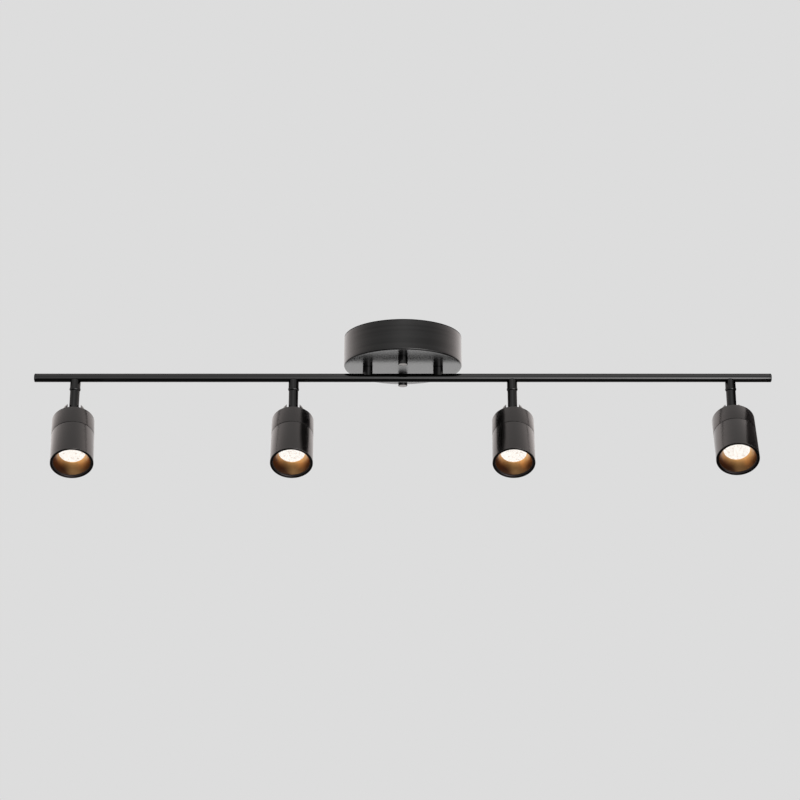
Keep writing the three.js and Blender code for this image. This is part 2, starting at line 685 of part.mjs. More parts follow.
/** Round circuit board with the light source's round chip in the middle. */
function ledBoard() {
  return headTurned([
    [0, chipFrontDepth],
    [LED_CHIP_RADIUS, chipFrontDepth],
    [LED_CHIP_RADIUS, boardFrontDepth],
    [LED_BOARD_RADIUS, boardFrontDepth],
    [LED_BOARD_RADIUS, boardBackDepth],
    [0, boardBackDepth],
  ], ROUND_SMALL);
}

/** Heat sink: a column from the rear housing, a plate for the board and a rim for the lens. */
function heatSink() {
  const outer = barrelBore - 2 * FIT_GAP;
  const rimBore = apertureRadius + 1 + LENS_FLANGE / 2;
  const rimFront = lensFrontDepth - LENS_EDGE - FIT_GAP;
  const plateBack = sinkFrontDepth - HEAT_SINK_PLATE;
  return headTurned([
    [wireWay, REAR_PLATE + FIT_GAP],
    [HEAT_SINK_COLUMN_RADIUS, REAR_PLATE + FIT_GAP],
    [HEAT_SINK_COLUMN_RADIUS, plateBack],
    [outer, plateBack],
    [outer, rimFront],
    [rimBore, rimFront],
    [rimBore, sinkFrontDepth],
    [wireWay, sinkFrontDepth],
  ], ROUND_SMALL);
}

const HEAD_PIECES = [
  ['rear_housing', rearHousing, FINISHES.blackPaint],
  ['pivot_screw', pivotScrew, FINISHES.steel],
  ['barrel', barrel, FINISHES.blackPaint],
  ['bezel', bezel, FINISHES.blackTrim],
  ['baffle', baffle, FINISHES.bronze],
  ['lens', lens, FINISHES.diffuser],
  ['led_board', ledBoard, FINISHES.board],
  ['heat_sink', heatSink, FINISHES.aluminium],
];

headPlaces.forEach((x, i) => {
  const number = i + 1;
  addPiece(fixture, `socket_${number}`, socket(x), FINISHES.blackPaint);
  addPiece(fixture, `lock_ring_${number}`, lockRing().translate(x, 0, railZ), FINISHES.blackPaint);

  const swivel = new THREE.Group();
  swivel.position.set(x, 0, railZ);
  swivel.rotation.z = THREE.MathUtils.degToRad(AIMS[i].swivel);
  addPiece(swivel, `arm_${number}`, arm(), FINISHES.blackPaint);

  const head = new THREE.Group();
  head.position.z = -PIVOT_DROP;
  head.rotation.x = -THREE.MathUtils.degToRad(AIMS[i].tilt);
  for (const [name, make, look] of HEAD_PIECES) addPiece(head, `${name}_${number}`, make(), look);
  swivel.add(head);
  fixture.add(swivel);
});

export default fixture;
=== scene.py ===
"""Ceiling track light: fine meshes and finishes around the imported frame, in metres."""

import json
import logging
import math
from dataclasses import dataclass, field
from enum import Enum
from typing import Callable, Optional, Sequence, Union

import bpy
import numpy as np
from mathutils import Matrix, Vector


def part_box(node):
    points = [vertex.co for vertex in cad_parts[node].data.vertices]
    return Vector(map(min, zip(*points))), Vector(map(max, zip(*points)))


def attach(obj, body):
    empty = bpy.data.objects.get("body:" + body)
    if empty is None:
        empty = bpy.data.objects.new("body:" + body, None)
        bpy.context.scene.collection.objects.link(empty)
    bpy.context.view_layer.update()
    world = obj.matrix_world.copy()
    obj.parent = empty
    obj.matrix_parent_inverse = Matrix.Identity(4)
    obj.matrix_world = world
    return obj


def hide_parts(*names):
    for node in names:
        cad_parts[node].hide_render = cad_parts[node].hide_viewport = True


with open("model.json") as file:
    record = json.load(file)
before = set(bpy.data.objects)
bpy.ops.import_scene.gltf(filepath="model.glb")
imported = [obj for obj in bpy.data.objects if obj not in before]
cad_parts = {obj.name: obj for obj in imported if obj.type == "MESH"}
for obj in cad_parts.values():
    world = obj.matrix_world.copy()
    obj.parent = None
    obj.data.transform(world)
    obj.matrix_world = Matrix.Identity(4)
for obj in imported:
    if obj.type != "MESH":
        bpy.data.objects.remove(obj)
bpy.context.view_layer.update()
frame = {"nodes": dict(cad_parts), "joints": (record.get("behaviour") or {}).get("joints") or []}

LOG = logging.getLogger("track_light")
MM = 0.001
SPUN = "spun"  # attribute: cosine and sine of the angle round the axis, metres along the profile

Number = Union[int, float]
Term = Union["Value", Number]
Corner = Sequence[float]  # a colour, a point, or a profile's corner with its fillet radius
Coordinates = Union[Number, np.ndarray]
EndSurface = Callable[[np.ndarray, np.ndarray], np.ndarray]  # height at x, y


# ------------------------------------------------------------------ shader writing


class Value:
    """A shader socket that takes part in arithmetic, so that a pattern reads as a formula."""

    def __init__(self, graph: "Graph", socket: bpy.types.NodeSocket) -> None:
        """Wraps one output socket of a graph."""
        self.graph = graph
        self.socket = socket

    def _math(self, operation: str, *others: Term) -> "Value":
        """A Math node on this value and others."""
        inputs = {index: item for index, item in enumerate((self, *others))}
        return self.graph.add("ShaderNodeMath", {"operation": operation}, inputs)

    def __add__(self, other: Term) -> "Value":
        """self + other."""
        return self._math("ADD", other)

    __radd__ = __add__

    def __sub__(self, other: Term) -> "Value":
        """self - other."""
        return self._math("SUBTRACT", other)

    def __rsub__(self, other: Number) -> "Value":
        """other - self."""
        return self.graph.add("ShaderNodeMath", {"operation": "SUBTRACT"}, {0: other, 1: self})

    def __mul__(self, other: Term) -> "Value":
        """self * other."""
        return self._math("MULTIPLY", other)

    __rmul__ = __mul__

    def exp(self) -> "Value":
        """e raised to this value."""
        return self._math("EXPONENT")

    def step(self, low: Number, high: Number) -> "Value":
        """0 below low, 1 above high, and smooth between."""
        settings = {"interpolation_type": "SMOOTHSTEP"}
        inputs = {"Value": self, "From Min": low, "From Max": high}
        return self.graph.add("ShaderNodeMapRange", settings, inputs)


class Graph:
    """A node tree that is written with one node-making method."""

    def __init__(self, tree: bpy.types.NodeTree) -> None:
        """Empties the tree."""
        self.tree = tree
        tree.nodes.clear()

    def add(
        self,
        kind: str,
        settings: Optional[dict] = None,
        inputs: Optional[dict] = None,
        output: Union[int, str] = 0,
    ) -> Value:
        """Makes a node.

        Args:
            kind: the node's type name.
            settings: attributes set first; "stops" holds a colour ramp's positions and colours.
            inputs: a value or a link for each socket, by name or index.
            output: the socket that the result wraps.

        Returns:
            The chosen output.
        """
        node = self.tree.nodes.new(kind)
        for name, setting in (settings or {}).items():
            if name == "stops":
                self._set_stops(node.color_ramp, setting)
            else:
                setattr(node, name, setting)
        for key, item in (inputs or {}).items():
            if isinstance(item, Value):
                self.tree.links.new(item.socket, node.inputs[key])
            else:
                node.inputs[key].default_value = item
        return Value(self, node.outputs[output])

    @staticmethod
    def _set_stops(ramp: bpy.types.ColorRamp, stops: Sequence[tuple[float, Corner]]) -> None:
        """Gives a ramp its stops."""
        while len(ramp.elements) < len(stops):
            ramp.elements.new(1.0)
        for element, (position, color) in zip(ramp.elements, stops):
            element.position = position
            element.color = (*color, 1.0)

    def end(self, kind: str, surface: Value) -> None:
        """Adds the tree's output node of a kind and links the surface to it."""
        node = self.tree.nodes.new(kind)
        self.tree.links.new(surface.socket, node.inputs["Surface"])

    def blend(self, amount: Term, low: Corner, high: Corner) -> Value:
        """A colour that runs from low to high as amount runs from 0 to 1."""
        stops = [(0.0, low), (1.0, high)]
        return self.add("ShaderNodeValToRGB", {"stops": stops}, {"Fac": amount}, "Color")

    def place(self, scale: Sequence[float] = (1.0, 1.0, 1.0)) -> Value:
        """Object coordinates, stretched."""
        coordinates = self.add("ShaderNodeTexCoord", output="Object")
        return self.add("ShaderNodeMapping", {}, {"Vector": coordinates, "Scale": scale})

    def spun(self) -> Value:
        """The attribute of a turned piece: its direction round the axis, and the way along."""
        return self.add("ShaderNodeAttribute", {"attribute_name": SPUN}, output="Vector")

    def turned(self, around: float, along: float) -> Value:
        """Coordinates of a turned piece, stretched round its axis and along its profile."""
        scale = (around, around, along)
        return self.add("ShaderNodeMapping", {}, {"Vector": self.spun(), "Scale": scale})

    def part(self, vector: Value, axis: str) -> Value:
        """The X, Y or Z of a vector."""
        return self.add("ShaderNodeSeparateXYZ", {}, {0: vector}, axis)

    def noise(self, where: Value, scale: float, detail: float = 2.0) -> Value:
        """Noise from 0 to 1."""
        inputs = {"Vector": where, "Scale": scale, "Detail": detail}
        return self.add("ShaderNodeTexNoise", {}, inputs)

    def bump(self, height: Value, distance: float) -> Value:
        """A normal from a height; distance is the height's full range in metres."""
        inputs = {"Height": height, "Distance": distance, "Strength": 1.0}
        return self.add("ShaderNodeBump", {}, inputs, "Normal")


class Grain(Enum):
    """Which way a finish's fine marks run."""

    EVEN = "even"
    TURNED = "turned"
    ALONG_X = "along_x"


@dataclass(frozen=True)
class Finish:
    """A finish that makes a material once and hands it out after that."""

    name: str
    base: Corner
    roughness: float = 0.4

    def principled(self, graph: Graph, inputs: dict) -> Value:
        """A Principled shader with the finish's constants and the given inputs."""
        settings = {"Base Color": (*self.base, 1.0), "Roughness": self.roughness}
        return graph.add("ShaderNodeBsdfPrincipled", {}, {**settings, **inputs}, "BSDF")

    def surface(self, graph: Graph) -> Value:
        """The finish's shader."""
        raise NotImplementedError

    def metal(
        self, graph: Graph, tone: Value, rough: Value, normal: Value, **more: Corner
    ) -> Value:
        """A metallic shader; more gives further constants, with _ for the spaces in their names."""
        inputs = {"Base Color": tone, "Roughness": rough, "Normal": normal, "Metallic": 1.0}
        constants = {name.replace("_", " "): (*color, 1.0) for name, color in more.items()}
        return self.principled(graph, {**inputs, **constants})

    def tones(self, graph: Graph, amount: Value, low: float, high: float) -> Value:
        """The base colour made darker or lighter, from a low factor to a high one."""
        return graph.blend(amount, tinted(self.base, low), tinted(self.base, high))

    def material(self) -> bpy.types.Material:
        """The finish's material, made on first use."""
        existing = bpy.data.materials.get(self.name)
        if existing:
            return existing
        material = bpy.data.materials.new(self.name)
        material.use_nodes = True
        graph = Graph(material.node_tree)
        graph.end("ShaderNodeOutputMaterial", self.surface(graph))
        return material


def tinted(color: Corner, factor: float) -> Corner:
    """A colour made lighter or darker by a factor."""
    return tuple(min(channel * factor, 1.0) for channel in color)


@dataclass(frozen=True)
class SatinPaint(Finish):
    """Black gloss of a plated or painted part: all of its light is mirrored.

    The base colour is what it mirrors face on, and edge is how much of the full glancing
    brightness is left. Faint clouds, a fine grain and, where turned, brushed rings vary both.
    """

    edge: float = 1.0
    grain: Grain = Grain.EVEN
    grain_height: float = 3e-6
    streak: float = 0.06
    cloud_scale: float = 45.0
    speck_scale: float = 2200.0
    ring_scale: tuple[float, float] = (0.35, 520.0)
    brush_scale: tuple[float, float] = (0.6, 900.0)
    drawn_scale: Corner = (12.0, 900.0, 900.0)

    def surface(self, graph: Graph) -> Value:
        """Streaked brightness, uneven roughness and a grain bump."""
        cloud = graph.noise(graph.place(), self.cloud_scale, 3.0)
        lines = graph.noise(graph.place(), self.speck_scale, 1.0)
        if self.grain is Grain.TURNED:
            rings = graph.noise(graph.turned(*self.ring_scale), 1.0, 0.0).step(0.25, 0.75)
            fine = graph.noise(graph.turned(*self.brush_scale), 1.0, 1.0)
            lines = rings * 0.7 + fine * 0.3
        elif self.grain is Grain.ALONG_X:
            lines = graph.noise(graph.place(self.drawn_scale), 1.0, 1.0)
        amount = (lines * 0.8 + cloud * 0.2 - 0.5) * 1.4 + 0.5
        tone = self.tones(graph, amount, 1.0 - self.streak, 1.0 + self.streak)
        rough = self.roughness - 0.04 + cloud * 0.04 + lines * 0.04
        normal = graph.bump(lines, self.grain_height)
        return self.metal(graph, tone, rough, normal, Specular_Tint=(self.edge,) * 3)


@dataclass(frozen=True)
class BareMetal(Finish):
    """Plated or cast metal: streaks or fine pits, and slightly uneven brightness."""

    grain: Grain = Grain.EVEN
    grain_height: float = 4e-6

    def surface(self, graph: Graph) -> Value:
        """Metallic shader with streaked roughness."""
        where = {
            Grain.EVEN: graph.place((1800.0, 1800.0, 1800.0)),
            Grain.TURNED: graph.turned(0.7, 3800.0),
            Grain.ALONG_X: graph.place((60.0, 2200.0, 2200.0)),
        }[self.grain]
        marks = graph.noise(where, 1.0, 3.0)
        cloud = graph.noise(graph.place(), 70.0, 2.0)
        tone = self.tones(graph, cloud, 0.8, 1.12)
        rough = self.roughness - 0.06 + marks * 0.12
        return self.metal(graph, tone, rough, graph.bump(marks, self.grain_height))


@dataclass(frozen=True)
class BronzeWithPaintedLight(Finish):
    """Bronze of the baffles: lines drawn round the cone, with painted shade towards the mouth and
    painted light on one side.
    """

    # dark is the colour of the painted shade, at the mouth and on the side away from the painted
    # light.
    dark: Corner = (0.10, 0.048, 0.028)
    fade: float = 0.0206
    # Where round the cone the painted light on one side peaks, and how narrow it is.
    painted_light_side: float = 0.15
    painted_light_narrowness: float = 2.4
    line_height: float = 3e-6

    def surface(self, graph: Graph) -> Value:
        """Metallic shader whose colour is painted light and shade: bright bronze at the lens, dark
        towards the mouth, brighter on one side.

        The way along the profile falls from fade at the lens to 0 at the mouth.
        """
        spun = graph.spun()
        side, along = (graph.part(spun, axis) for axis in "XZ")
        lines = graph.noise(graph.turned(1.2, 1500.0), 1.0, 1.0)
        cloud = graph.noise(graph.place(), 120.0, 2.0)
        # Painted light: a bright band on one side of the cone.
        offset = (side - self.painted_light_side) * self.painted_light_narrowness
        painted_side_light = (offset * offset * -1.0).exp()
        # Painted light and shade: bright towards the lens, dark towards the mouth, lighter towards
        # one side; cloud and lines are the bronze's own uneven tone.
        painted_light = along * (0.74 / self.fade) + painted_side_light * 0.5 + side.step(0.1, 0.7) * 0.35
        painted_light = painted_light + cloud * 0.2 + lines * 0.08 - 0.42
        tone = graph.blend(painted_light, self.dark, self.base)
        rough = self.roughness + lines * 0.06
        return self.metal(graph, tone, rough, graph.bump(lines, self.line_height))


@dataclass(frozen=True)
class LitOptic(Finish):
    """The lit lens: a warm white glow that small facets and moulding marks break up."""

    glow: float = 1.12
    shade: Corner = (0.50, 0.40, 0.33)
    facet_scale: float = 620.0
    mark_scale: float = 420.0

    def surface(self, graph: Graph) -> Value:
        """Emission under a gloss; the facets' edges and a few marks glow less."""
        settings = {"feature": "DISTANCE_TO_EDGE"}
        inputs = {"Vector": graph.place(), "Scale": self.facet_scale}
        cells = graph.add("ShaderNodeTexVoronoi", settings, inputs)
        facets = cells.step(-0.05, 0.14)
        marks = graph.noise(graph.place((1.0, 1.0, 0.35)), self.mark_scale, 3.0).step(0.56, 0.70)
        light = facets * (1.0 - marks * 0.75)
        color = graph.blend(light, self.shade, self.base)
        inputs = {"Base Color": (0.02, 0.02, 0.02, 1.0), "Emission Color": color}
        return self.principled(graph, {**inputs, "Emission Strength": self.glow})


@dataclass(frozen=True)
class MouldedPlastic(Finish):
    """Moulded plastic with a fine spark-eroded texture."""

    texture_scale: float = 1500.0
    texture_height: float = 1.2e-5

    def surface(self, graph: Graph) -> Value:
        """Dielectric shader with a pebbled bump."""
        pebbles = graph.noise(graph.place(), self.texture_scale, 2.0)
        cloud = graph.noise(graph.place(), 60.0, 2.0)
        tone = self.tones(graph, cloud, 0.9, 1.06)
        rough = self.roughness + pebbles * 0.1
        normal = graph.bump(pebbles, self.texture_height)
        return self.principled(graph, {"Base Color": tone, "Roughness": rough, "Normal": normal})


@dataclass(frozen=True)
class FloorPaint(Finish):
    """Matt paint of the studio's floor and card."""

    def surface(self, graph: Graph) -> Value:
        """A nearly even tone."""
        cloud = graph.noise(graph.place(), 1.5, 2.0)
        return self.principled(graph, {"Base Color": self.tones(graph, cloud, 0.98, 1.02)})


HEAD_PAINT = SatinPaint("satin_black", (0.0505, 0.0472, 0.0460), 0.25, 0.92)
FITTING_PAINT = SatinPaint("gloss_black", (0.0410, 0.0405, 0.0403), 0.16, 0.40)
# Near-black ring on the canopy's top edge: a painted shadow where it meets the ceiling.
SHADOW_RING_BLACK = SatinPaint("painted_shadow_ring", (0.008, 0.008, 0.008), 0.5, 0.1)
CANOPY_PAINT = SatinPaint(
    "brushed_black", (0.0445, 0.0438, 0.0434), 0.25, 0.95, Grain.TURNED, 3e-6, 0.09
)
RAIL_PAINT = SatinPaint(
    "rail_black", (0.0455, 0.0450, 0.0448), 0.16, 0.5, Grain.ALONG_X, 1e-6, 0.05
)
RIM_PAINT = SatinPaint("trim_black", (0.030, 0.031, 0.032), 0.33, 0.3, Grain.TURNED, 3e-6, 0.1)
END_METAL = BareMetal("cap_nut_end", (0.25, 0.235, 0.225), 0.42, Grain.TURNED)
ZINC = BareMetal("zinc_plate", (0.62, 0.63, 0.65), 0.33, Grain.EVEN)
ZINC_STRAP = BareMetal("zinc_strap", (0.60, 0.61, 0.62), 0.38, Grain.ALONG_X)
CAST_ALUMINIUM = BareMetal("cast_aluminium", (0.70, 0.71, 0.72), 0.5, Grain.EVEN, 1e-5)
# The baffles' bronze, with painted light and shade in its colour.
BRONZE = BronzeWithPaintedLight("bronze_baffle", (0.92, 0.535, 0.215), 0.32)
OPTIC = LitOptic("lit_optic", (1.0, 0.98, 0.93), 0.3)
WHITE_PLASTIC = MouldedPlastic("driver_white", (0.66, 0.65, 0.61), 0.5)
GREY_PLASTIC = MouldedPlastic("terminal_grey", (0.085, 0.09, 0.10), 0.45)
BOARD = MouldedPlastic("board_white", (0.82, 0.81, 0.77), 0.5, 2500.0)
WIRE_SKIN = MouldedPlastic("wire_skin", (0.55, 0.42, 0.20), 0.4, 900.0)
LEAD_SKINS = tuple(
    MouldedPlastic(name, color, 0.35, 900.0)
    for name, color in (
        ("line_skin", (0.018, 0.018, 0.018)),
        ("earth_skin", (0.10, 0.32, 0.10)),
        ("neutral_skin", (0.80, 0.80, 0.78)),
    )
)


# ------------------------------------------------------------------ geometry


@dataclass(frozen=True)
class Placement:
    """A rigid placement: a point is turned, then moved."""

    turn: np.ndarray = field(default_factory=lambda: np.eye(3))
    origin: np.ndarray = field(default_factory=lambda: np.zeros(3))

    def apply(self, points: np.ndarray) -> np.ndarray:
        """Points of the piece's own frame, in the row frame."""
        return points @ self.turn.T + self.origin


def rotation(axis: str, angle: float) -> np.ndarray:
    """The matrix of a turn about X, Y or Z, in radians, by the right-hand rule."""
    first, second = {"x": (1, 2), "y": (2, 0), "z": (0, 1)}[axis]
    matrix = np.eye(3)
    matrix[first, first] = matrix[second, second] = math.cos(angle)
    matrix[first, second] = -math.sin(angle)
    matrix[second, first] = math.sin(angle)
    return matrix


@dataclass
class Shell:
    """Points and faces of one closed surface, with the turned-piece attribute."""

    points: np.ndarray
    faces: list[tuple[int, ...]]
    spun: np.ndarray

    def placed(self, placement: Placement) -> "Shell":
        """The same shell, turned and moved."""
        return Shell(placement.apply(self.points), self.faces, self.spun)


def filleted(corners: Sequence[Corner], closed: bool = True, steps: int = 5) -> np.ndarray:
    """A profile with rounded corners.

    At a corner with radius f, the two sides are cut back by f / tan(half the corner's angle) and
    joined by an arc of radius f about the point on the corner's bisector that touches both sides.

    Args:
        corners: (first coordinate, second coordinate, fillet radius) of each corner; a sharp
            corner's radius is left out.
        closed: whether the last corner joins the first; an open profile's ends stay sharp.
        steps: facets on each fillet.

    Returns:
        An array of points, shape (n, 2).
    """
    given = [(*corner, 0.0)[:3] for corner in corners]
    points = np.array([corner[:2] for corner in given], float)
    out: list[np.ndarray] = []
    for index, (*_, radius) in enumerate(given):
        here = points[index]
        is_end = not closed and index in (0, len(given) - 1)
        if radius <= 0 or is_end:
            out.append(here[None])
            continue
        before = points[index - 1] - here
        after = points[(index + 1) % len(given)] - here
        before_length, after_length = np.linalg.norm(before), np.linalg.norm(after)
        before, after = before / before_length, after / after_length
        half = 0.5 * math.acos(float(np.clip(before @ after, -1.0, 1.0)))
        radius = min(radius, 0.49 * min(before_length, after_length) * math.tan(half))
        bisector = (before + after) / np.linalg.norm(before + after)
        centre = here + bisector * radius / math.sin(half)
        start = here + before * radius / math.tan(half) - centre
        finish = here + after * radius / math.tan(half) - centre
        share = np.linspace(0.0, 1.0, steps + 1)[:, None]
        sweep = math.pi - 2.0 * half
        weights = np.sin((1.0 - share) * sweep), np.sin(share * sweep)
        out.append(centre + (weights[0] * start + weights[1] * finish) / math.sin(sweep))
    return np.concatenate(out)


def grid_faces(rows: int, columns: int, wrap_rows: bool, wrap_columns: bool) -> np.ndarray:
    """Corner indices of the quads of a grid, optionally closed on itself each way."""
    i = np.arange(rows if wrap_rows else rows - 1)[:, None]
    j = np.arange(columns if wrap_columns else columns - 1)[None, :]
    next_i, next_j = (i + 1) % rows, (j + 1) % columns
    loop = ((i, j), (i, next_j), (next_i, next_j), (next_i, j))
    corners = np.broadcast_arrays(*(row * columns + column for row, column in loop))
    return np.stack(corners, -1).reshape(-1, 4)


def welded(points: np.ndarray, quads: np.ndarray, spun: np.ndarray, extra: Sequence = ()) -> Shell:
    """A shell whose coincident points are one, with collapsed quads made triangles or dropped.

    Args:
        points: all points, shape (n, 3).
        quads: corner indices, shape (m, 4).
        spun: the attribute of each point.
        extra: further polygons, as tuples of indices.

    Returns:
        The shell, with its faces pointing out.
    """
    keys = np.round(points / 1e-8).astype(np.int64)
    _, first, inverse = np.unique(keys, axis=0, return_index=True, return_inverse=True)
    inverse = inverse.reshape(-1)
    faces: list[tuple[int, ...]] = []
    for polygon in [*inverse[quads].tolist(), *[inverse[list(e)].tolist() for e in extra]]:
        ring = [c for k, c in enumerate(polygon) if c != polygon[k - 1]]
        if len(set(ring)) > 2:
            faces.append(tuple(ring))
    merged = points[first]
    if signed_volume(merged, faces) < 0:
        faces = [face[::-1] for face in faces]
    return Shell(merged, faces, spun[first])


def signed_volume(points: np.ndarray, faces: Sequence[tuple[int, ...]]) -> float:
    """Six times the volume that faces enclose: the sum of a . (b x c) over their triangles."""
    triangles = [(f[0], f[k], f[k + 1]) for f in faces for k in range(1, len(f) - 1)]
    a, b, c = (points[[t[k] for t in triangles]] for k in range(3))
    return float(np.einsum("ij,ij->i", a, np.cross(b, c)).sum())


def round_angles(segments: int) -> np.ndarray:
    """Evenly spaced angles once round a circle."""
    return np.linspace(0.0, 2.0 * math.pi, segments, endpoint=False)


def polar(radius: Coordinates, angle: np.ndarray, height: Coordinates) -> np.ndarray:
    """Points (r cos t, r sin t, z) of radii, angles and heights that broadcast together."""
    parts = np.broadcast_arrays(radius * np.cos(angle), radius * np.sin(angle), height)
    return np.stack(parts, -1)


def profile_length(profile: np.ndarray) -> np.ndarray:
    """The way along a profile to each of its points, in metres."""
    steps = np.linalg.norm(np.diff(profile, axis=0), axis=1)
    return np.concatenate([[0.0], np.cumsum(steps)])


def revolved(profile: np.ndarray, segments: int = 96) -> Shell:
    """A turned solid about Z.

    A point of the profile (r, z) becomes (r cos t, r sin t, z) for angles t round the circle. The
    profile runs from the axis to the axis, or else is a closed ring.
    """
    closed = profile[0, 0] > 1e-9 or profile[-1, 0] > 1e-9
    angle = round_angles(segments)
    grid = polar(profile[:, :1], angle, profile[:, 1:])
    spun = polar(1.0, angle, profile_length(profile)[:, None])
    quads = grid_faces(len(profile), segments, closed, True)
    return welded(grid.reshape(-1, 3), quads, spun.reshape(-1, 3))


def lathe(
    corners: Sequence[Corner], segments: int, closed: bool = True, steps: int = 5
) -> Shell:
    """A turned solid from (radius, height, fillet) corners."""
    return revolved(filleted(corners, closed, steps), segments)


def lofted(rings: np.ndarray) -> Shell:
    """A solid through closed outlines: a skin between neighbours and a flat face at each end.

    Args:
        rings: outlines of equal length, shape (sections, points, 3).
    """
    sections, count = rings.shape[:2]
    points = rings.reshape(-1, 3)
    quads = grid_faces(sections, count, False, True)
    first = tuple(range(count))[::-1]
    last = tuple(range((sections - 1) * count, sections * count))
    return welded(points, quads, np.zeros_like(points), [first, last])


def tube_between(
    outer: float,
    inner: float,
    low: EndSurface,
    high: EndSurface,
    segments: int,
    edge: float,
) -> Shell:
    """A tube, or a bar where inner is 0, whose two ends are shaped surfaces.

    The outer wall, the upper end, the bore and the lower end are one closed ring of points at
    each angle t: (q cos t, q sin t, z), with z = low or high of (x, y). Near the outer wall the
    ends are drawn back by edge, as a small chamfer.

    Args:
        outer: outer radius.
        inner: radius of the bore.
        low: height of the lower end at x, y.
        high: height of the upper end at x, y.
        segments: points round the tube.
        edge: size of the chamfers on the outer edges.
    """
    angle = round_angles(segments)
    end_radii = np.linspace(outer - edge, inner, 10)

    def ring(radius: float, end: EndSurface, shift: float) -> np.ndarray:
        """Points of one end surface at a radius, shifted up or down."""
        x, y = radius * np.cos(angle), radius * np.sin(angle)
        return np.stack([x, y, end(x, y) + shift], -1)

    rows = [ring(outer, low, edge), ring(outer, high, -edge)]
    rows += [ring(radius, high, 0.0) for radius in end_radii]
    rows += [ring(radius, low, 0.0) for radius in end_radii[::-1]]
    grid = np.array(rows)
    quads = grid_faces(len(rows), segments, True, True)
    spun = polar(1.0, angle, grid[..., 2] - grid[..., 2].min())
    return welded(grid.reshape(-1, 3), quads, spun.reshape(-1, 3))


def level(height: float) -> EndSurface:
    """A flat end surface."""
    return lambda x, y: np.full_like(x, height)


def prism(outline: np.ndarray, low: float, high: float, edge: float = 0.0) -> Shell:
    """A flat outline given depth along Z, with its long edges bevelled by edge.

    The bevel draws the end outlines in towards the middle: p + (middle - p) e / |middle - p|.
    """
    middle = outline.mean(axis=0)
    inward = middle - outline
    drawn = outline + inward / np.linalg.norm(inward, axis=1, keepdims=True) * edge
    levels = [(drawn, low), (outline, low + edge), (outline, high - edge), (drawn, high)]
    rings = [np.column_stack([flat, np.full(len(flat), height)]) for flat, height in levels]
    return lofted(np.array(rings))


def rectangle(
    width: float, length: float, radius: float, centre: Sequence[float]
) -> np.ndarray:
    """The outline of a rectangle with rounded corners."""
    x, y = width / 2, length / 2
    corners = [(x, -y, radius), (x, y, radius), (-x, y, radius), (-x, -y, radius)]
    return filleted(corners) + np.array(centre)


def threaded_rod(radius: float, low: float, high: float, pitch: float, depth: float) -> Shell:
    """A rod with a rolled thread about Z.

    The radius at height z and angle t is radius - depth (1 + cos(2 pi z / pitch - t)) / 2, and the
    ends taper in by the thread's depth.
    """
    rows = int((high - low) / pitch * 6) + 1
    z = np.linspace(low, high, rows)[:, None]
    angle = round_angles(20)
    r = radius - depth * 0.5 * (1.0 + np.cos(2.0 * math.pi * z / pitch - angle))
    r[[0, -1]] = radius - 1.5 * depth
    return lofted(polar(r, angle, z))


def swept(path: np.ndarray, radius: float, segments: int = 12) -> Shell:
    """A round wire along a path.

    At each point the circle lies in the plane across the path's direction d, on the axes
    a = d x Y and b = a x d. The path never runs along Y.
    """
    direction = np.gradient(path, axis=0)
    direction /= np.linalg.norm(direction, axis=1, keepdims=True)
    side = np.cross(direction, np.array([0.0, 1.0, 0.0]))
    side /= np.linalg.norm(side, axis=1, keepdims=True)
    lift = np.cross(side, direction)
    angle = round_angles(segments)[None, :, None]
    ring = side[:, None] * (radius * np.cos(angle)) + lift[:, None] * (radius * np.sin(angle))
    return lofted(path[:, None] + ring)


def smooth_path(points: Sequence[Sequence[float]], count: int) -> np.ndarray:
    """A smooth curve through points: Catmull-Rom cubics, sampled evenly in their parameter."""
    knots = np.array(points, float)
    padded = np.vstack([2 * knots[0] - knots[1], knots, 2 * knots[-1] - knots[-2]])
    u = np.linspace(0.0, len(knots) - 1 - 1e-9, count)
    span = u.astype(int)
    t = (u - span)[:, None]
    p0, p1, p2, p3 = (padded[span + k] for k in range(4))
    return 0.5 * (2 * p1 + (p2 - p0) * t + (2 * p0 - 5 * p1 + 4 * p2 - p3) * t**2
                  + (3 * p1 - p0 - 3 * p2 + p3) * t**3)


@dataclass
class Piece:
    """A named piece that is gathered from shells and finishes, then put on a body."""

    name: str
    body: str
    shells: list[tuple[Shell, Finish]] = field(default_factory=list)

    def add(self, shell: Shell, finish: Finish, placement: Placement = Placement()) -> "Piece":
        """Adds one closed shell in a finish."""
        self.shells.append((shell.placed(placement), finish))
        return self

    def build(self, node: str, sharp: float = 38.0) -> None:
        """Makes the object, puts it on its body and lets it stand for a CAD node.

        Args:
            node: the CAD node that it replaces.
            sharp: edges that turn by more than this many degrees stay crisp.
        """
        finishes = list(dict.fromkeys(finish for _, finish in self.shells))
        points = np.concatenate([shell.points for shell, _ in self.shells])
        spun = np.concatenate([shell.spun for shell, _ in self.shells])
        faces: list[tuple[int, ...]] = []
        slots: list[int] = []
        offset = 0
        for shell, finish in self.shells:
            faces.extend(tuple(corner + offset for corner in face) for face in shell.faces)
            slots.extend([finishes.index(finish)] * len(shell.faces))
            offset += len(shell.points)
        mesh = bpy.data.meshes.new(self.name)
        mesh.from_pydata(points.tolist(), [], faces)
        attribute = mesh.attributes.new(SPUN, "FLOAT_VECTOR", "POINT")
        attribute.data.foreach_set("vector", spun.astype(np.float32).ravel())
        for finish in finishes:
            mesh.materials.append(finish.material())
        mesh.polygons.foreach_set("material_index", slots)
        mesh.shade_smooth()
        mesh.set_sharp_from_angle(angle=math.radians(sharp))
        mesh.update()
        piece = bpy.data.objects.new(self.name, mesh)
        bpy.context.scene.collection.objects.link(piece)
        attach(piece, self.body)
        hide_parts(node)
        LOG.info("%s: %d faces on %s for %s", self.name, len(faces), self.body, node)


# ------------------------------------------------------------------ the object's own measures


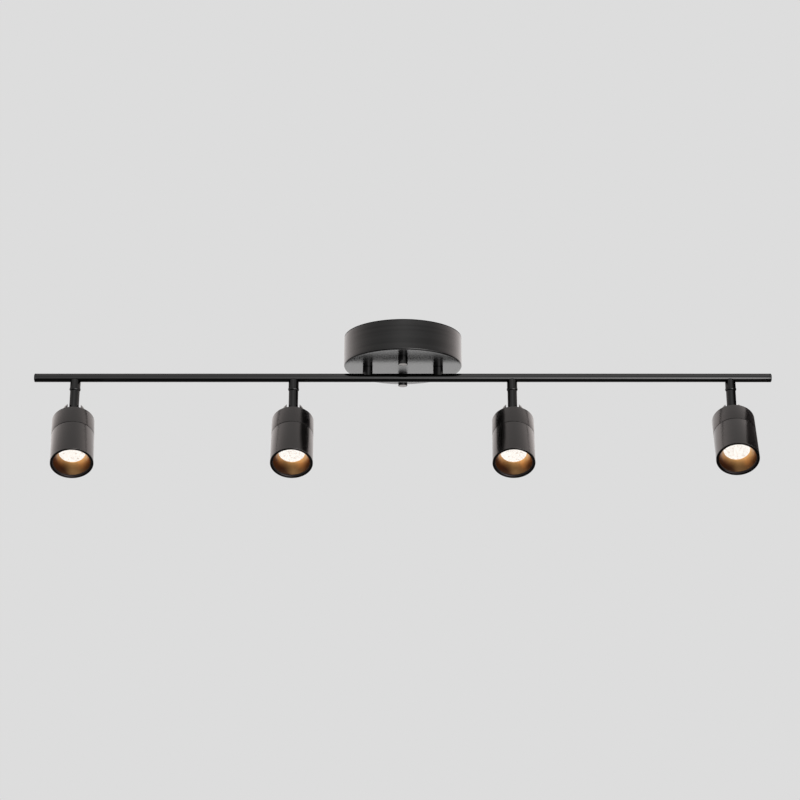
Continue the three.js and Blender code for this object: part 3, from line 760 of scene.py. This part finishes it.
def middle(node: str) -> np.ndarray:
    """The centre of a CAD node's box."""
    low, high = (np.array(corner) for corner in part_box(node))
    return (low + high) / 2


def extent(node: str) -> np.ndarray:
    """The size of a CAD node's box."""
    low, high = (np.array(corner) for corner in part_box(node))
    return high - low


def half_width(node: str) -> float:
    """Half of a CAD node's size along X, which is the radius of an upright round one."""
    return float(extent(node)[0]) / 2


def span(node: str, axis: int = 2) -> tuple[float, float]:
    """Where a CAD node's box starts and ends along an axis, which is Z unless another is given."""
    low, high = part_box(node)
    return float(low[axis]), float(high[axis])


def at(x: float, y: float = 0.0, z: float = 0.0) -> Placement:
    """An upright placement at a point."""
    return Placement(origin=np.array([x, y, z]))


def joint(name: str) -> dict:
    """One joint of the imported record."""
    return next(entry for entry in frame["joints"] if entry["name"] == name)


ROOT = "fixture"
RAIL_Z = float(middle("rail_tube")[2])
RAIL_RADIUS = float(extent("rail_tube")[2]) / 2
CANOPY_RADIUS = half_width("canopy_cover")
CANOPY_HEIGHT = float(extent("canopy_cover")[2])


@dataclass
class Canopy:
    """The canopy cover, its cap nuts and what hangs it from the ceiling."""

    wall: float = 1.2 * MM
    edge: float = 1.8 * MM
    hem: float = 0.3 * MM
    # Height of the near-black ring that paints the ceiling's shadow on the canopy's top edge.
    shadow_ring: float = 1.0 * MM
    segments: int = 192
    nut_end_rim: float = 0.5 * MM
    stud_pitch: float = 0.8 * MM
    strap_thickness: float = 1.8 * MM

    @property
    def floor(self) -> float:
        """Height of the floor inside the canopy."""
        return self.wall - CANOPY_HEIGHT

    def cover(self) -> None:
        """A spun cup with a rounded lower edge, and above its rim a thin near-black ring, a painted
        shadow where the canopy meets the ceiling.
        """
        inner = CANOPY_RADIUS - self.wall
        profile = filleted([
            (0.0, -CANOPY_HEIGHT), (CANOPY_RADIUS, -CANOPY_HEIGHT, self.edge),
            (CANOPY_RADIUS, -self.shadow_ring, self.hem), (inner, -self.shadow_ring, self.hem),
            (inner, self.floor, self.edge), (0.0, self.floor),
        ], closed=False, steps=8)
        outer, foot = CANOPY_RADIUS - 0.15 * MM, -self.shadow_ring - 0.1 * MM
        # The near-black ring: a painted shadow where the canopy meets the ceiling.
        shadow_ring = lathe([
            (outer, foot), (outer, 0.0, self.hem), (inner, 0.0, self.hem), (inner, foot),
        ], self.segments)
        piece = Piece("canopy_shell", ROOT)
        piece.add(revolved(subdivided(profile, 4 * MM), self.segments), CANOPY_PAINT)
        piece.add(shadow_ring, SHADOW_RING_BLACK).build("canopy_cover")

    def cap_nut(self, node: str) -> None:
        """A smooth cylindrical nut with a pale end face set in its rim."""
        radius = half_width(node)
        x, y, _ = middle(node)
        low, high = span(node)
        inner = radius - self.nut_end_rim
        disc = inner - 0.03 * MM
        skirt = lathe([
            (0.0, low + 0.15 * MM), (inner, low + 0.15 * MM), (inner, low),
            (radius, low, 0.35 * MM), (radius, high, 0.2 * MM), (0.0, high),
        ], 64, closed=False)
        face = lathe([
            (0.0, low + 0.02 * MM), (disc, low + 0.02 * MM, 0.15 * MM), (disc, low + 0.6 * MM),
            (0.0, low + 0.6 * MM),
        ], 64, closed=False)
        piece = Piece(f"{node}_turned", ROOT)
        piece.add(skirt, FITTING_PAINT, at(x, y)).add(face, END_METAL, at(x, y)).build(node)

    def stud(self, node: str) -> None:
        """A threaded rod with its lock nut under the strap."""
        x, y, _ = middle(node)
        low, high = span(node)
        rod = threaded_rod(2.0 * MM, low, high, self.stud_pitch, 0.22 * MM)
        nut_top = -self.strap_thickness
        nut = hex_nut(4.0 * MM, 1.9 * MM, nut_top - 3.2 * MM, nut_top)
        piece = Piece(f"{node}_threaded", ROOT)
        piece.add(rod, ZINC, at(x, y)).add(nut, ZINC, at(x, y)).build(node)

    def build(self) -> None:
        """Makes every piece of the canopy."""
        self.cover()
        dress("ceiling_strap", ZINC_STRAP)
        for side in ("front", "rear"):
            self.cap_nut(f"cap_nut_{side}")
            self.stud(f"stud_{side}")


def subdivided(profile: np.ndarray, longest: float) -> np.ndarray:
    """A profile whose straight stretches are split so that none is longer than a length."""
    out = [profile[:1]]
    for start, finish in zip(profile[:-1], profile[1:]):
        count = max(1, math.ceil(float(np.linalg.norm(finish - start)) / longest))
        share = np.linspace(0.0, 1.0, count + 1)[1:, None]
        out.append(start + (finish - start) * share)
    return np.concatenate(out)


def hex_nut(corner_radius: float, bore: float, low: float, high: float) -> Shell:
    """A hexagonal nut with chamfered corners.

    Its outline at angle t has the radius corner cos(30 degrees) / cos(t - nearest flat's angle).
    On the end faces that radius is limited to the flats' radius, which gives the round chamfer.
    """
    angle = round_angles(72)
    flat = corner_radius * math.cos(math.pi / 6)
    sector = (angle % (math.pi / 3)) - math.pi / 6
    outline = flat / np.cos(sector)
    limited = np.minimum(outline, flat * 0.99)
    drop = (outline - limited) * 0.6
    mouth, chamfer = bore * 1.12, bore * 0.12
    rows = [
        (limited, low), (outline, low + drop), (outline, high - drop), (limited, high),
        (mouth, high), (bore, high - chamfer), (bore, low + chamfer), (mouth, low),
    ]
    points = np.concatenate([polar(r, angle, z) for r, z in rows])
    quads = grid_faces(len(rows), len(angle), True, True)
    return welded(points, quads, np.zeros_like(points))


def dress(node: str, finish: Finish) -> None:
    """Gives a CAD node that stays in view its finish."""
    target = frame["nodes"][node]
    target.data.materials.clear()
    target.data.materials.append(finish.material())
    LOG.info("%s: CAD node in %s", node, finish.name)


@dataclass
class Rail:
    """The rail tube with its end caps, the posts with their nuts, and the loom."""

    cap_edge: float = 0.5 * MM
    joint_line: float = 0.15 * MM
    nipple_radius: float = 4.5 * MM
    wire_way: float = 2.6 * MM
    saddle_play: float = 0.05 * MM
    foot_edge: float = 0.4 * MM

    def along(self, sign: float) -> Placement:
        """The placement of a turned piece on the rail, with its Z towards +X or -X."""
        return Placement(rotation("y", sign * math.pi / 2), np.array([0.0, 0.0, RAIL_Z]))

    def tube(self) -> None:
        """The round tube between its caps, with softened end edges."""
        low, high = span("rail_tube", 0)
        tube = lathe([
            (RAIL_RADIUS - MM, low), (RAIL_RADIUS, low, self.joint_line),
            (RAIL_RADIUS, high, self.joint_line), (RAIL_RADIUS - MM, high),
        ], 96)
        Piece("rail_drawn_tube", ROOT).add(tube, RAIL_PAINT, self.along(1.0)).build("rail_tube")

    def end_cap(self, side: str) -> None:
        """A pushed-in cap, slightly domed, with a fine line where it meets the tube."""
        node = f"end_cap_{side}"
        tube_end = half_width("rail_tube")
        tip = float(extent(node)[0]) - 8.0 * MM + tube_end
        plug = RAIL_RADIUS - 1.3 * MM
        cap = lathe([
            (0.0, tube_end - 2 * MM), (plug, tube_end - 2 * MM), (plug, tube_end),
            (RAIL_RADIUS, tube_end, self.joint_line),
            (RAIL_RADIUS, tip - 0.1 * MM, self.cap_edge), (0.0, tip),
        ], 64, closed=False)
        place = self.along(1.0 if side == "right" else -1.0)
        Piece(f"{node}_turned", ROOT).add(cap, FITTING_PAINT, place).build(node)

    def post(self, side: str) -> None:
        """A short tube whose foot is cut to sit over the rail, under a threaded nipple."""
        node = f"post_{side}"
        radius = half_width(node)
        foot, top = span(node)
        underside = -CANOPY_HEIGHT
        saddle = RAIL_RADIUS + self.saddle_play

        def low(px: np.ndarray, py: np.ndarray) -> np.ndarray:
            """The rail's crown, or the flat foot beside it."""
            return np.maximum(foot, RAIL_Z + np.sqrt(np.maximum(saddle**2 - py**2, 0.0)))

        body = tube_between(radius, self.wire_way, low, level(underside), 96, self.foot_edge)
        nipple = threaded_tube(self.nipple_radius, self.wire_way, underside, top)
        place = at(float(middle(node)[0]))
        piece = Piece(f"{node}_saddled", ROOT)
        piece.add(body, FITTING_PAINT, place).add(nipple, ZINC, place).build(node)

    def post_nut(self, side: str) -> None:
        """The hexagonal nut on a post's nipple."""
        node = f"post_nut_{side}"
        low, high = span(node)
        nut = hex_nut(float(extent(node)[1]) / 2, self.nipple_radius + 0.05 * MM, low, high)
        Piece(f"{node}_hex", ROOT).add(nut, ZINC, at(float(middle(node)[0]))).build(node)

    def build(self) -> None:
        """Makes every piece of the rail."""
        self.tube()
        for side in ("left", "right"):
            self.end_cap(side)
            self.post(side)
            self.post_nut(side)
        dress("rail_wiring", WIRE_SKIN)


def threaded_tube(radius: float, bore: float, low: float, high: float) -> Shell:
    """A threaded nipple: rings of thread 1 mm apart round a plain bore."""
    pitch, depth = 1.0 * MM, 0.3 * MM
    turns = int((high - low) / pitch)
    ridges = [(bore, low), (radius - depth, low)]
    for turn in range(turns):
        base = low + turn * pitch
        ridges += [(radius, base + 0.5 * pitch), (radius - depth, base + pitch)]
    ridges.append((bore, high))
    return revolved(np.array(ridges), 48)


@dataclass
class Supply:
    """The driver and the terminal block on the canopy's floor."""

    vent_count: int = 7
    vent_reach: float = 13 * MM
    screw_radius: float = 2.0 * MM
    pole_pitch: float = 9 * MM
    lead_radius: float = 1.2 * MM

    def driver(self) -> None:
        """The driver's case: a lid on a base, ribs across the lid, and a screw at each end."""
        low, high = (np.array(corner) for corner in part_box("driver_case"))
        centre = (low[:2] + high[:2]) / 2
        width, length = (high - low)[:2]
        foot_length, foot_top = 14 * MM, low[2] + 8.5 * MM
        seam, lid_top = high[2] - 6 * MM, high[2] - 0.8 * MM
        piece = Piece("driver_box", ROOT)
        base = rectangle(width, length, 2 * MM, centre)
        lid = rectangle(width - 0.8 * MM, length - 0.8 * MM, 2 * MM, centre)
        piece.add(prism(base, foot_top, seam, 0.3 * MM), WHITE_PLASTIC)
        piece.add(prism(lid, seam - 0.2 * MM, lid_top, 0.8 * MM), WHITE_PLASTIC)
        for side in (-1, 1):
            y = centre[1] + side * (length - foot_length) / 2
            foot = rectangle(width, foot_length, 2 * MM, (centre[0], y))
            piece.add(prism(foot, low[2], foot_top + 0.4 * MM, 0.3 * MM), WHITE_PLASTIC)
            head = pan_screw(self.screw_radius, 0.8 * MM)
            place = at(centre[0], centre[1] + side * (length / 2 - 5 * MM), lid_top)
            piece.add(head, ZINC, place)
        for rib in np.linspace(-1.0, 1.0, self.vent_count):
            place = (centre[0], centre[1] + rib * self.vent_reach)
            bar = rectangle(width * 0.66, 1.4 * MM, 0.5 * MM, place)
            piece.add(prism(bar, high[2] - MM, high[2] - 0.2 * MM, 0.25 * MM), WHITE_PLASTIC)
        piece.build("driver_case")

    def terminal(self) -> None:
        """The terminal block: a screw in each well, and its three leads to the driver."""
        low, high = (np.array(corner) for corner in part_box("terminal_block"))
        block_width = 14 * MM
        centre_x, centre_y = low[0] + block_width / 2, (low[1] + high[1]) / 2
        length = high[1] - low[1]
        piece = Piece("terminal_strip", ROOT)
        outline = rectangle(block_width, length, MM, (centre_x, centre_y))
        piece.add(prism(outline, low[2], high[2] - 3 * MM, 0.3 * MM), GREY_PLASTIC)
        for pole, skin in zip((-1, 0, 1), LEAD_SKINS):
            y = centre_y + pole * self.pole_pitch
            well = lathe([
                (2.3 * MM, high[2] - 3.4 * MM), (3.9 * MM, high[2] - 3.4 * MM),
                (3.9 * MM, high[2], 0.4 * MM), (2.3 * MM, high[2], 0.2 * MM),
            ], 40)
            piece.add(well, GREY_PLASTIC, at(centre_x, y))
            top = at(centre_x, y, high[2] - 3 * MM)
            piece.add(pan_screw(self.screw_radius, 0.9 * MM), ZINC, top)
            route = [(low[0] + block_width - MM, y, low[2] + 5 * MM), (high[0], y, low[2] + 5 * MM)]
            piece.add(swept(smooth_path(route, 12), self.lead_radius), skin)
        piece.build("terminal_block")

    def build(self) -> None:
        """Makes the driver and the terminal block."""
        self.driver()
        self.terminal()


def pan_screw(radius: float, height: float) -> Shell:
    """A low round screw head with a cross recess.

    The dome's height at distance q from the middle is h (1 - (q / r)^4); inside the cross, whose
    arms are a fifth of the radius wide, it drops by 0.6 of the height.
    """
    radii = np.linspace(radius, 0.02 * radius, 14)[:, None]
    angle = round_angles(48)[None]
    x, y = radii * np.cos(angle), radii * np.sin(angle)
    dome = height * (1.0 - (radii / radius) ** 4) * np.ones_like(angle)
    reach = np.maximum(np.abs(x), np.abs(y)) < 0.62 * radius
    arm = (np.minimum(np.abs(x), np.abs(y)) < 0.14 * radius) & reach
    top = np.stack([x, y, dome - 0.6 * height * arm], -1)
    base = polar(radius, angle, -0.3 * height)
    return lofted(np.concatenate([base, top]))


@dataclass
class Station:
    """A socket under the rail with its lock ring, and the arm that swivels in it."""

    number: int
    wire_way: float = 2.6 * MM
    saddle_drop: float = 2.5 * MM
    groove_count: int = 16
    groove_depth: float = 0.12 * MM
    ring_edge: float = 0.5 * MM
    stem_radius: float = 5.6 * MM
    journal: float = 3.5 * MM
    flange: float = 4.7 * MM
    eye_radius: float = 5.85 * MM
    eye_half: float = 7.3 * MM
    eye_bore: float = 2.3 * MM
    eye_edge: float = 0.4 * MM

    def __post_init__(self) -> None:
        """Takes the stem's place and turn from the joints."""
        self.tilt_joint = joint(f"tilt_{self.number}")
        self.pivot = np.array(self.tilt_joint["pos_m"])
        axis = self.tilt_joint["axis"]
        self.swivel = math.atan2(-axis[1], -axis[0])
        self.x = float(self.pivot[0])

    def socket(self) -> None:
        """A collar that hugs the rail from below; its crown is arched."""
        node = f"socket_{self.number}"
        radius = half_width(node)
        foot, _ = span(node)
        rise = RAIL_RADIUS - self.saddle_drop
        arch = (radius**2 + rise**2) / (2 * rise)
        saddle = RAIL_RADIUS + 0.05 * MM

        def high(px: np.ndarray, py: np.ndarray) -> np.ndarray:
            """The lower of the arched crown and the rail's underside."""
            crown = -self.saddle_drop - arch + np.sqrt(arch**2 - px**2)
            return RAIL_Z + np.minimum(crown, -np.sqrt(np.maximum(saddle**2 - py**2, 0.0)))

        shell = tube_between(radius, self.wire_way, level(foot), high, 144, 0.18 * MM)
        shell = self.fluted(shell, radius)
        Piece(f"{node}_fluted", ROOT).add(shell, FITTING_PAINT, at(self.x)).build(node)

    def fluted(self, shell: Shell, radius: float) -> Shell:
        """Shallow upright flutes round the collar's outer wall.

        The outer wall's radius loses the flutes' depth times (1 + cos(n t)) / 2, for n flutes.
        """
        points = shell.points.copy()
        distance = np.hypot(points[:, 0], points[:, 1])
        angle = np.arctan2(points[:, 1], points[:, 0])
        outer = distance > radius - 0.3 * MM
        cut = self.groove_depth * 0.5 * (1.0 + np.cos(self.groove_count * angle)) * outer
        points[:, :2] *= (1.0 - cut / np.maximum(distance, 1e-6))[:, None]
        return Shell(points, shell.faces, shell.spun)

    def lock_ring(self) -> None:
        """The ring that closes the socket, with a rolled lower edge."""
        node = f"lock_ring_{self.number}"
        outer = half_width(node)
        low, high = span(node)
        shoulder = high - 1.5 * MM
        bore, neck = 3.8 * MM, 4.9 * MM
        ring = lathe([
            (bore, low), (outer - 0.4 * MM, low, self.ring_edge),
            (outer, low + 0.9 * MM, self.ring_edge), (outer, shoulder, 0.25 * MM),
            (neck, shoulder), (neck, high), (bore, high),
        ], 72)
        Piece(f"{node}_rolled", ROOT).add(ring, FITTING_PAINT, at(self.x)).build(node)

    def arm(self) -> None:
        """The stem with its journal and flange, ending on a round eye across the pivot."""
        node = f"arm_{self.number}"
        _, top = span(node)
        drop = float(self.pivot[2])
        shoulder = span(f"lock_ring_{self.number}")[0] - 0.3 * MM
        flange_foot = top - 1.8 * MM
        on_eye = self.eye_radius - 0.05 * MM

        def low(px: np.ndarray, py: np.ndarray) -> np.ndarray:
            """The top of the eye that the stem runs into."""
            return drop + np.sqrt(np.maximum(on_eye**2 - py**2, 0.0))

        stem = tube_between(self.stem_radius, 0.0, low, level(shoulder), 96, 0.25 * MM)
        spigot = lathe([
            (0.0, shoulder - MM), (self.journal, shoulder - MM), (self.journal, flange_foot),
            (self.flange, flange_foot, 0.3 * MM), (self.flange, top, 0.3 * MM), (0.0, top),
        ], 48, closed=False)
        eye = lathe([
            (self.eye_bore, -self.eye_half, 0.2 * MM),
            (self.eye_radius, -self.eye_half, self.eye_edge),
            (self.eye_radius, self.eye_half, self.eye_edge),
            (self.eye_bore, self.eye_half, 0.2 * MM),
        ], 72)
        turn = rotation("z", self.swivel)
        upright = Placement(turn, at(self.x).origin)
        across = Placement(turn @ rotation("y", math.pi / 2), self.pivot)
        piece = Piece(f"{node}_stem", node)
        piece.add(stem, FITTING_PAINT, upright).add(spigot, ZINC, upright)
        piece.add(eye, FITTING_PAINT, across).build(node)

    def build(self) -> None:
        """Makes the station's pieces."""
        self.socket()
        self.lock_ring()
        self.arm()


@dataclass
class Head:
    """A spot head. Depths run along its axis, from its rear face to its mouth."""

    station: Station
    radius: float = 24.7 * MM
    length: float = 69.5 * MM
    rise: float = 13.2 * MM
    seam: float = 25.0 * MM
    seam_width: float = 0.8 * MM
    seam_depth: float = 0.5 * MM
    rim: float = 0.6 * MM
    lip: float = 0.25 * MM
    wall: float = 1.4 * MM
    bezel_radius: float = 23.0 * MM
    mouth: float = 21.2 * MM
    aperture: float = 15.2 * MM
    bezel_front: float = 69.1 * MM
    baffle_front: float = 66.6 * MM
    baffle_back: float = 52.8 * MM
    lens_front: float = 51.7 * MM
    facet_pitch: float = 1.9 * MM
    facet_depth: float = 0.12 * MM
    slot_half: float = 7.6 * MM
    boss_radius: float = 13.7 * MM
    ear_face: float = 12.5 * MM

    def __post_init__(self) -> None:
        """Takes the head's aim from the tilt joint: what is left of the quarter turn forward."""
        number = self.station.number
        tilt = math.radians(90.0 - self.station.tilt_joint["range_deg"][1])
        turn = rotation("z", self.station.swivel) @ rotation("x", -tilt)
        self.place = Placement(turn, self.station.pivot)
        self.number = number

    def ring(self, corners: Sequence[Corner], segments: int = 128) -> Shell:
        """A turned shell from (radius, depth, fillet) corners."""
        profile = filleted(corners)
        profile = np.column_stack([profile[:, 0], -(self.rise + profile[:, 1])])
        return revolved(profile, segments)

    def make(self, name: str, *parts: tuple[Shell, Finish, Placement], **options: float) -> None:
        """Makes one piece of this head from shells in their finishes and placements."""
        piece = Piece(f"{name}_{self.number}_fine", f"head_{self.number}")
        for part in parts:
            piece.add(*part)
        piece.build(f"{name}_{self.number}", **options)

    def rear_housing(self) -> None:
        """The rear cup, with its crisp rear edge, and the two ears."""
        rim = self.seam - self.seam_width / 2
        inner = self.radius - 1.8 * MM
        cup = self.ring([
            (2.6 * MM, 0.0, 0.3 * MM), (self.radius, 0.0, self.rim),
            (self.radius, rim, 0.2 * MM), (inner, rim), (inner, 4.0 * MM, 0.5 * MM),
            (2.6 * MM, 4.0 * MM),
        ])
        shells = (cup, self.ear(-1), self.ear(1))
        self.make("rear_housing", *((shell, HEAD_PAINT, self.place) for shell in shells))

    def ear(self, side: int) -> Shell:
        """One ear of the fork.

        At a distance x along the pivot the outline is an arch of half width
        w = sqrt(boss radius^2 - x^2): two upright sides from the rear face to the pivot's height,
        and a half circle over them. The arches run from the slot's wall to the outer flat.
        """
        base = -self.rise - 0.4 * MM
        bevel = 0.15 * MM
        stations = np.concatenate([
            [self.slot_half],
            np.linspace(self.slot_half + bevel, self.ear_face - bevel, 9),
            [self.ear_face],
        ])
        width = np.sqrt(self.boss_radius**2 - stations**2)
        width[0] -= bevel
        width[-1] = math.sqrt(self.boss_radius**2 - (self.ear_face - bevel) ** 2) - bevel
        sweep = np.linspace(0.0, math.pi, 41)
        across = np.concatenate([[1.0], np.cos(sweep), [-1.0]])
        over = np.concatenate([[0.0], np.sin(sweep), [0.0]])
        rings = []
        for x, half in zip(stations, width):
            height = over * half
            height[[0, -1]] = base
            rings.append(np.column_stack([np.full(len(across), side * x), across * half, height]))
        return lofted(np.array(rings))

    def pivot_screw(self) -> None:
        """The pivot's pin with a domed cross-recessed head on one ear and a nut on the other."""
        seat = self.ear_face + 0.15 * MM
        shank, tip = 2.0 * MM, -seat - 0.8 * MM
        corners = [(0.0, tip), (shank, tip, 0.3 * MM), (shank, seat), (0.0, seat)]
        pin = lathe(corners, 32, closed=False)
        along = Placement(self.place.turn @ rotation("y", math.pi / 2), self.place.origin)
        head = Placement(along.turn, self.place.apply(np.array([seat, 0.0, 0.0])))
        nut = hex_nut(3.3 * MM, shank, -seat - 1.2 * MM, -seat)
        screw = pan_screw(3.3 * MM, 1.2 * MM)
        self.make("pivot_screw", (pin, ZINC, along), (nut, ZINC, along), (screw, ZINC, head))

    def barrel(self) -> None:
        """The front tube: a neck in the rear housing, the seam's groove, and a softened rim."""
        shoulder = self.seam + self.seam_width / 2
        back = self.seam - self.seam_width / 2
        front = self.length - 0.3 * MM
        neck = self.radius - 2.1 * MM
        bore, neck_bore = self.radius - self.wall, neck - self.wall
        groove = self.radius - self.seam_depth
        step, end = shoulder + 2.1 * MM, self.seam - 4.5 * MM
        tube = self.ring([
            (self.radius, shoulder, 0.2 * MM), (self.radius, front - self.lip, 0.15 * MM),
            (self.radius - self.lip, front, 0.15 * MM), (bore, front, 0.1 * MM), (bore, step),
            (neck_bore, step), (neck_bore, end), (neck, end), (neck, back), (groove, back),
            (groove, shoulder),
        ])
        self.make("barrel", (tube, HEAD_PAINT, self.place))

    def bezel(self) -> None:
        """The ring in the mouth: a flat front and a chamfer down to the baffle."""
        back = self.bezel_front - 2.2 * MM
        ring = self.ring([
            (self.bezel_radius, back), (self.bezel_radius, self.bezel_front, 0.25 * MM),
            (self.mouth + 0.9 * MM, self.bezel_front, 0.2 * MM),
            (self.mouth, self.bezel_front - 0.9 * MM, 0.2 * MM), (self.mouth, back),
        ])
        self.make("bezel", (ring, RIM_PAINT, self.place))

    def baffle(self) -> None:
        """The bronze cone between the bezel and the lens."""
        skin = 0.8 * MM
        cone = self.ring([
            (self.mouth, self.baffle_front, 0.15 * MM), (self.bezel_radius, self.baffle_front),
            (self.bezel_radius, self.baffle_front - skin),
            (self.mouth + skin, self.baffle_front - skin),
            (self.aperture + skin, self.baffle_back - skin),
            (self.aperture, self.baffle_back - skin),
            (self.aperture, self.baffle_back, 0.1 * MM),
        ])
        self.make("baffle", (cone, BRONZE, self.place))

    def lens(self) -> None:
        """The optic: a disc whose front is a dish of small rounded facets, and its rear cone.

        The front at (x, y) is set back by h (1 + cos(k x) cos(k y)), where h is the facets' depth
        and k gives their pitch, and this fades out at the rim.
        """
        radius = self.aperture + 3.5 * MM
        segments = 128
        q = np.linspace(0.0, radius, 44)[:, None]
        angle = round_angles(segments)
        x, y = q * np.cos(angle), q * np.sin(angle)
        k = 2.0 * math.pi / self.facet_pitch
        fade = np.clip((self.aperture - q) / MM, 0.0, 1.0)
        facets = self.facet_depth * (1.0 + np.cos(k * x) * np.cos(k * y)) * fade
        front = -(self.rise + self.lens_front) + facets
        edges = [(radius, 1.5 * MM), (self.aperture + MM, 1.5 * MM), (7.0 * MM, 7.4 * MM)]
        rear = [polar(r, angle, -(self.rise + self.lens_front - depth)) for r, depth in edges]
        grid = np.concatenate([polar(q, angle, front), np.array(rear)])
        points = grid.reshape(-1, 3)
        last = tuple(range(len(points) - segments, len(points)))
        quads = grid_faces(len(grid), segments, False, True)
        shell = welded(points, quads, np.zeros_like(points), [last])
        self.make("lens", (shell, OPTIC, self.place), sharp=60.0)

    def build(self) -> None:
        """Makes the head's pieces and dresses what it hides."""
        self.rear_housing()
        self.pivot_screw()
        self.barrel()
        self.bezel()
        self.baffle()
        self.lens()
        dress(f"led_board_{self.number}", BOARD)
        dress(f"heat_sink_{self.number}", CAST_ALUMINIUM)


# ------------------------------------------------------------------ the studio


@dataclass(frozen=True)
class Glow:
    """A soft glow in the studio's surroundings.

    Towards the direction d its brightness is level exp(-(((dx - x) / a)^2 + ((dy - y) / b)^2 +
    ((dz - z) / c)^2) / 2), with (x, y, z) the middle and (a, b, c) the spread.
    """

    level: float
    middle: Corner
    spread: Corner

    def seen(self, graph: Graph, axes: Sequence[Value]) -> Value:
        """The glow's brightness for a direction's three parts."""
        total: Term = 0.0
        for part, middle, spread in zip(axes, self.middle, self.spread):
            offset = (part - middle) * (1.0 / spread)
            total = offset * offset + total
        return (total * -0.5).exp() * self.level


@dataclass
class Studio:
    """A pale backdrop and floor, soft surroundings for the gloss, and the camera."""

    backdrop: float = 0.723
    floor_drop: float = 2.4
    floor_size: float = 30.0
    card_x: float = 0.50
    card_y: tuple[float, float] = (-0.12, 0.50)
    card_z: tuple[float, float] = (-0.30, 0.02)
    focal_length: float = 71.98
    sensor: float = 36.0
    camera_place: Corner = (-0.00343, -1.8266, -0.6155)
    camera_pitch: float = 16.41
    warm_glows: tuple[Glow, ...] = (
        Glow(1.7, (0.72, 0.50, 0.45), (0.40, 0.42, 0.42)),
        Glow(1.5, (-0.72, 0.50, 0.45), (0.42, 0.42, 0.42)),
    )
    warmth: Corner = (1.0, 0.90, 0.87)
    key_size: tuple[float, float] = (2.4, 1.2)
    key_power: float = 5.0
    key_place: Corner = (0.8, -2.2, 1.8)
    key_turn: Corner = (50.0, 0.0, 18.0)
    glows: tuple[Glow, ...] = (
        Glow(1.12, (0.0, 1.0, -0.25), (0.4, 0.4, 0.4)),
        Glow(0.35, (0.0, -0.967, 0.256), (0.3, 0.3, 0.3)),
        Glow(0.45, (-0.1, -0.97, -0.1), (0.5, 0.4, 0.2)),
        Glow(7.0, (0.41, -0.81, -0.38), (0.26, 0.60, 0.16)),
    )
    level: float = 0.52
    top_level: float = 0.45
    under_level: float = 0.12

    def surroundings(self) -> None:
        """The world: even and pale where the camera sees it, shaped for what the gloss sees."""
        world = bpy.data.worlds.new("studio")
        world.use_nodes = True
        bpy.context.scene.world = world
        graph = Graph(world.node_tree)
        direction = graph.add("ShaderNodeTexCoord", output="Generated")
        axes = [graph.part(direction, axis) for axis in "XYZ"]
        under = axes[2].step(-0.72, -0.30)
        above = axes[2].step(0.3, 0.9) * self.top_level + self.level
        level = above * (under * (1.0 - self.under_level) + self.under_level)
        for glow in self.glows:
            level = level + glow.seen(graph, axes)
        warm: Term = 0.0
        for glow in self.warm_glows:
            warm = glow.seen(graph, axes) + warm
        seen = graph.add("ShaderNodeLightPath", output="Is Camera Ray")
        channels = {}
        for index, share in enumerate(self.warmth):
            light = level + warm * share
            channels[index] = light + seen * (self.backdrop - light)
        color = graph.add("ShaderNodeCombineColor", {}, channels)
        background = graph.add("ShaderNodeBackground", {}, {"Color": color})
        graph.end("ShaderNodeOutputWorld", background)

    @staticmethod
    def linked(name: str, data: bpy.types.ID) -> bpy.types.Object:
        """A new object in the scene."""
        made = bpy.data.objects.new(name, data)
        bpy.context.scene.collection.objects.link(made)
        return made

    def sheet(self, name: str, corners: Sequence[Corner], finish: Finish) -> bpy.types.Object:
        """A flat stage object through four corners, facing the side they run anticlockwise on."""
        mesh = bpy.data.meshes.new(name)
        mesh.from_pydata(corners, [], [(0, 1, 2, 3)])
        mesh.materials.append(finish.material())
        made = self.linked(name, mesh)
        return made

    def floor(self) -> None:
        """A plain pale floor, far below the fixture."""
        half, z = self.floor_size / 2, -self.floor_drop
        corners = [(-half, -half, z), (half, -half, z), (half, half, z), (-half, half, z)]
        floor = self.sheet("studio_floor", corners, FloorPaint("floor_paint", (0.8, 0.8, 0.8), 0.9))
        floor.visible_glossy = False

    def card(self) -> None:
        """A dark card beside the right end, which darkens that side of the last head."""
        x, (y0, y1), (z0, z1) = self.card_x, self.card_y, self.card_z
        corners = [(x, y0, z1), (x, y1, z1), (x, y1, z0), (x, y0, z0)]
        card = self.sheet("studio_card", corners, FloorPaint("card_paint", (0.09, 0.08, 0.08), 0.9))
        card.visible_camera = False

    def camera(self) -> None:
        """The camera, below the rail and in front of it, looking up."""
        data = bpy.data.cameras.new("camera")
        data.lens = self.focal_length
        data.sensor_width = self.sensor
        data.clip_end = 100.0
        camera = self.linked("camera", data)
        camera.location = self.camera_place
        camera.rotation_euler = (math.radians(90.0 + self.camera_pitch), 0.0, 0.0)
        bpy.context.scene.camera = camera

    def key_light(self) -> None:
        """A large soft light above and in front, for gentle modelling."""
        data = bpy.data.lights.new("key", "AREA")
        data.shape = "RECTANGLE"
        data.size, data.size_y = self.key_size
        data.energy = self.key_power
        light = self.linked("key", data)
        light.location = self.key_place
        light.rotation_euler = tuple(map(math.radians, self.key_turn))

    def build(self) -> None:
        """Sets the studio up."""
        self.camera()
        self.surroundings()
        self.floor()
        self.card()
        self.key_light()
        bpy.context.scene.view_settings.view_transform = "Standard"


# ------------------------------------------------------------------ putting it together


def main() -> None:
    """Builds the studio and every sub-assembly, in order."""
    logging.basicConfig(level=logging.INFO, format="%(name)s %(message)s")
    Studio().build()
    Canopy().build()
    Rail().build()
    Supply().build()
    for number in range(1, 5):
        station = Station(number)
        station.build()
        Head(station).build()


if __name__ == "__main__":
    main()
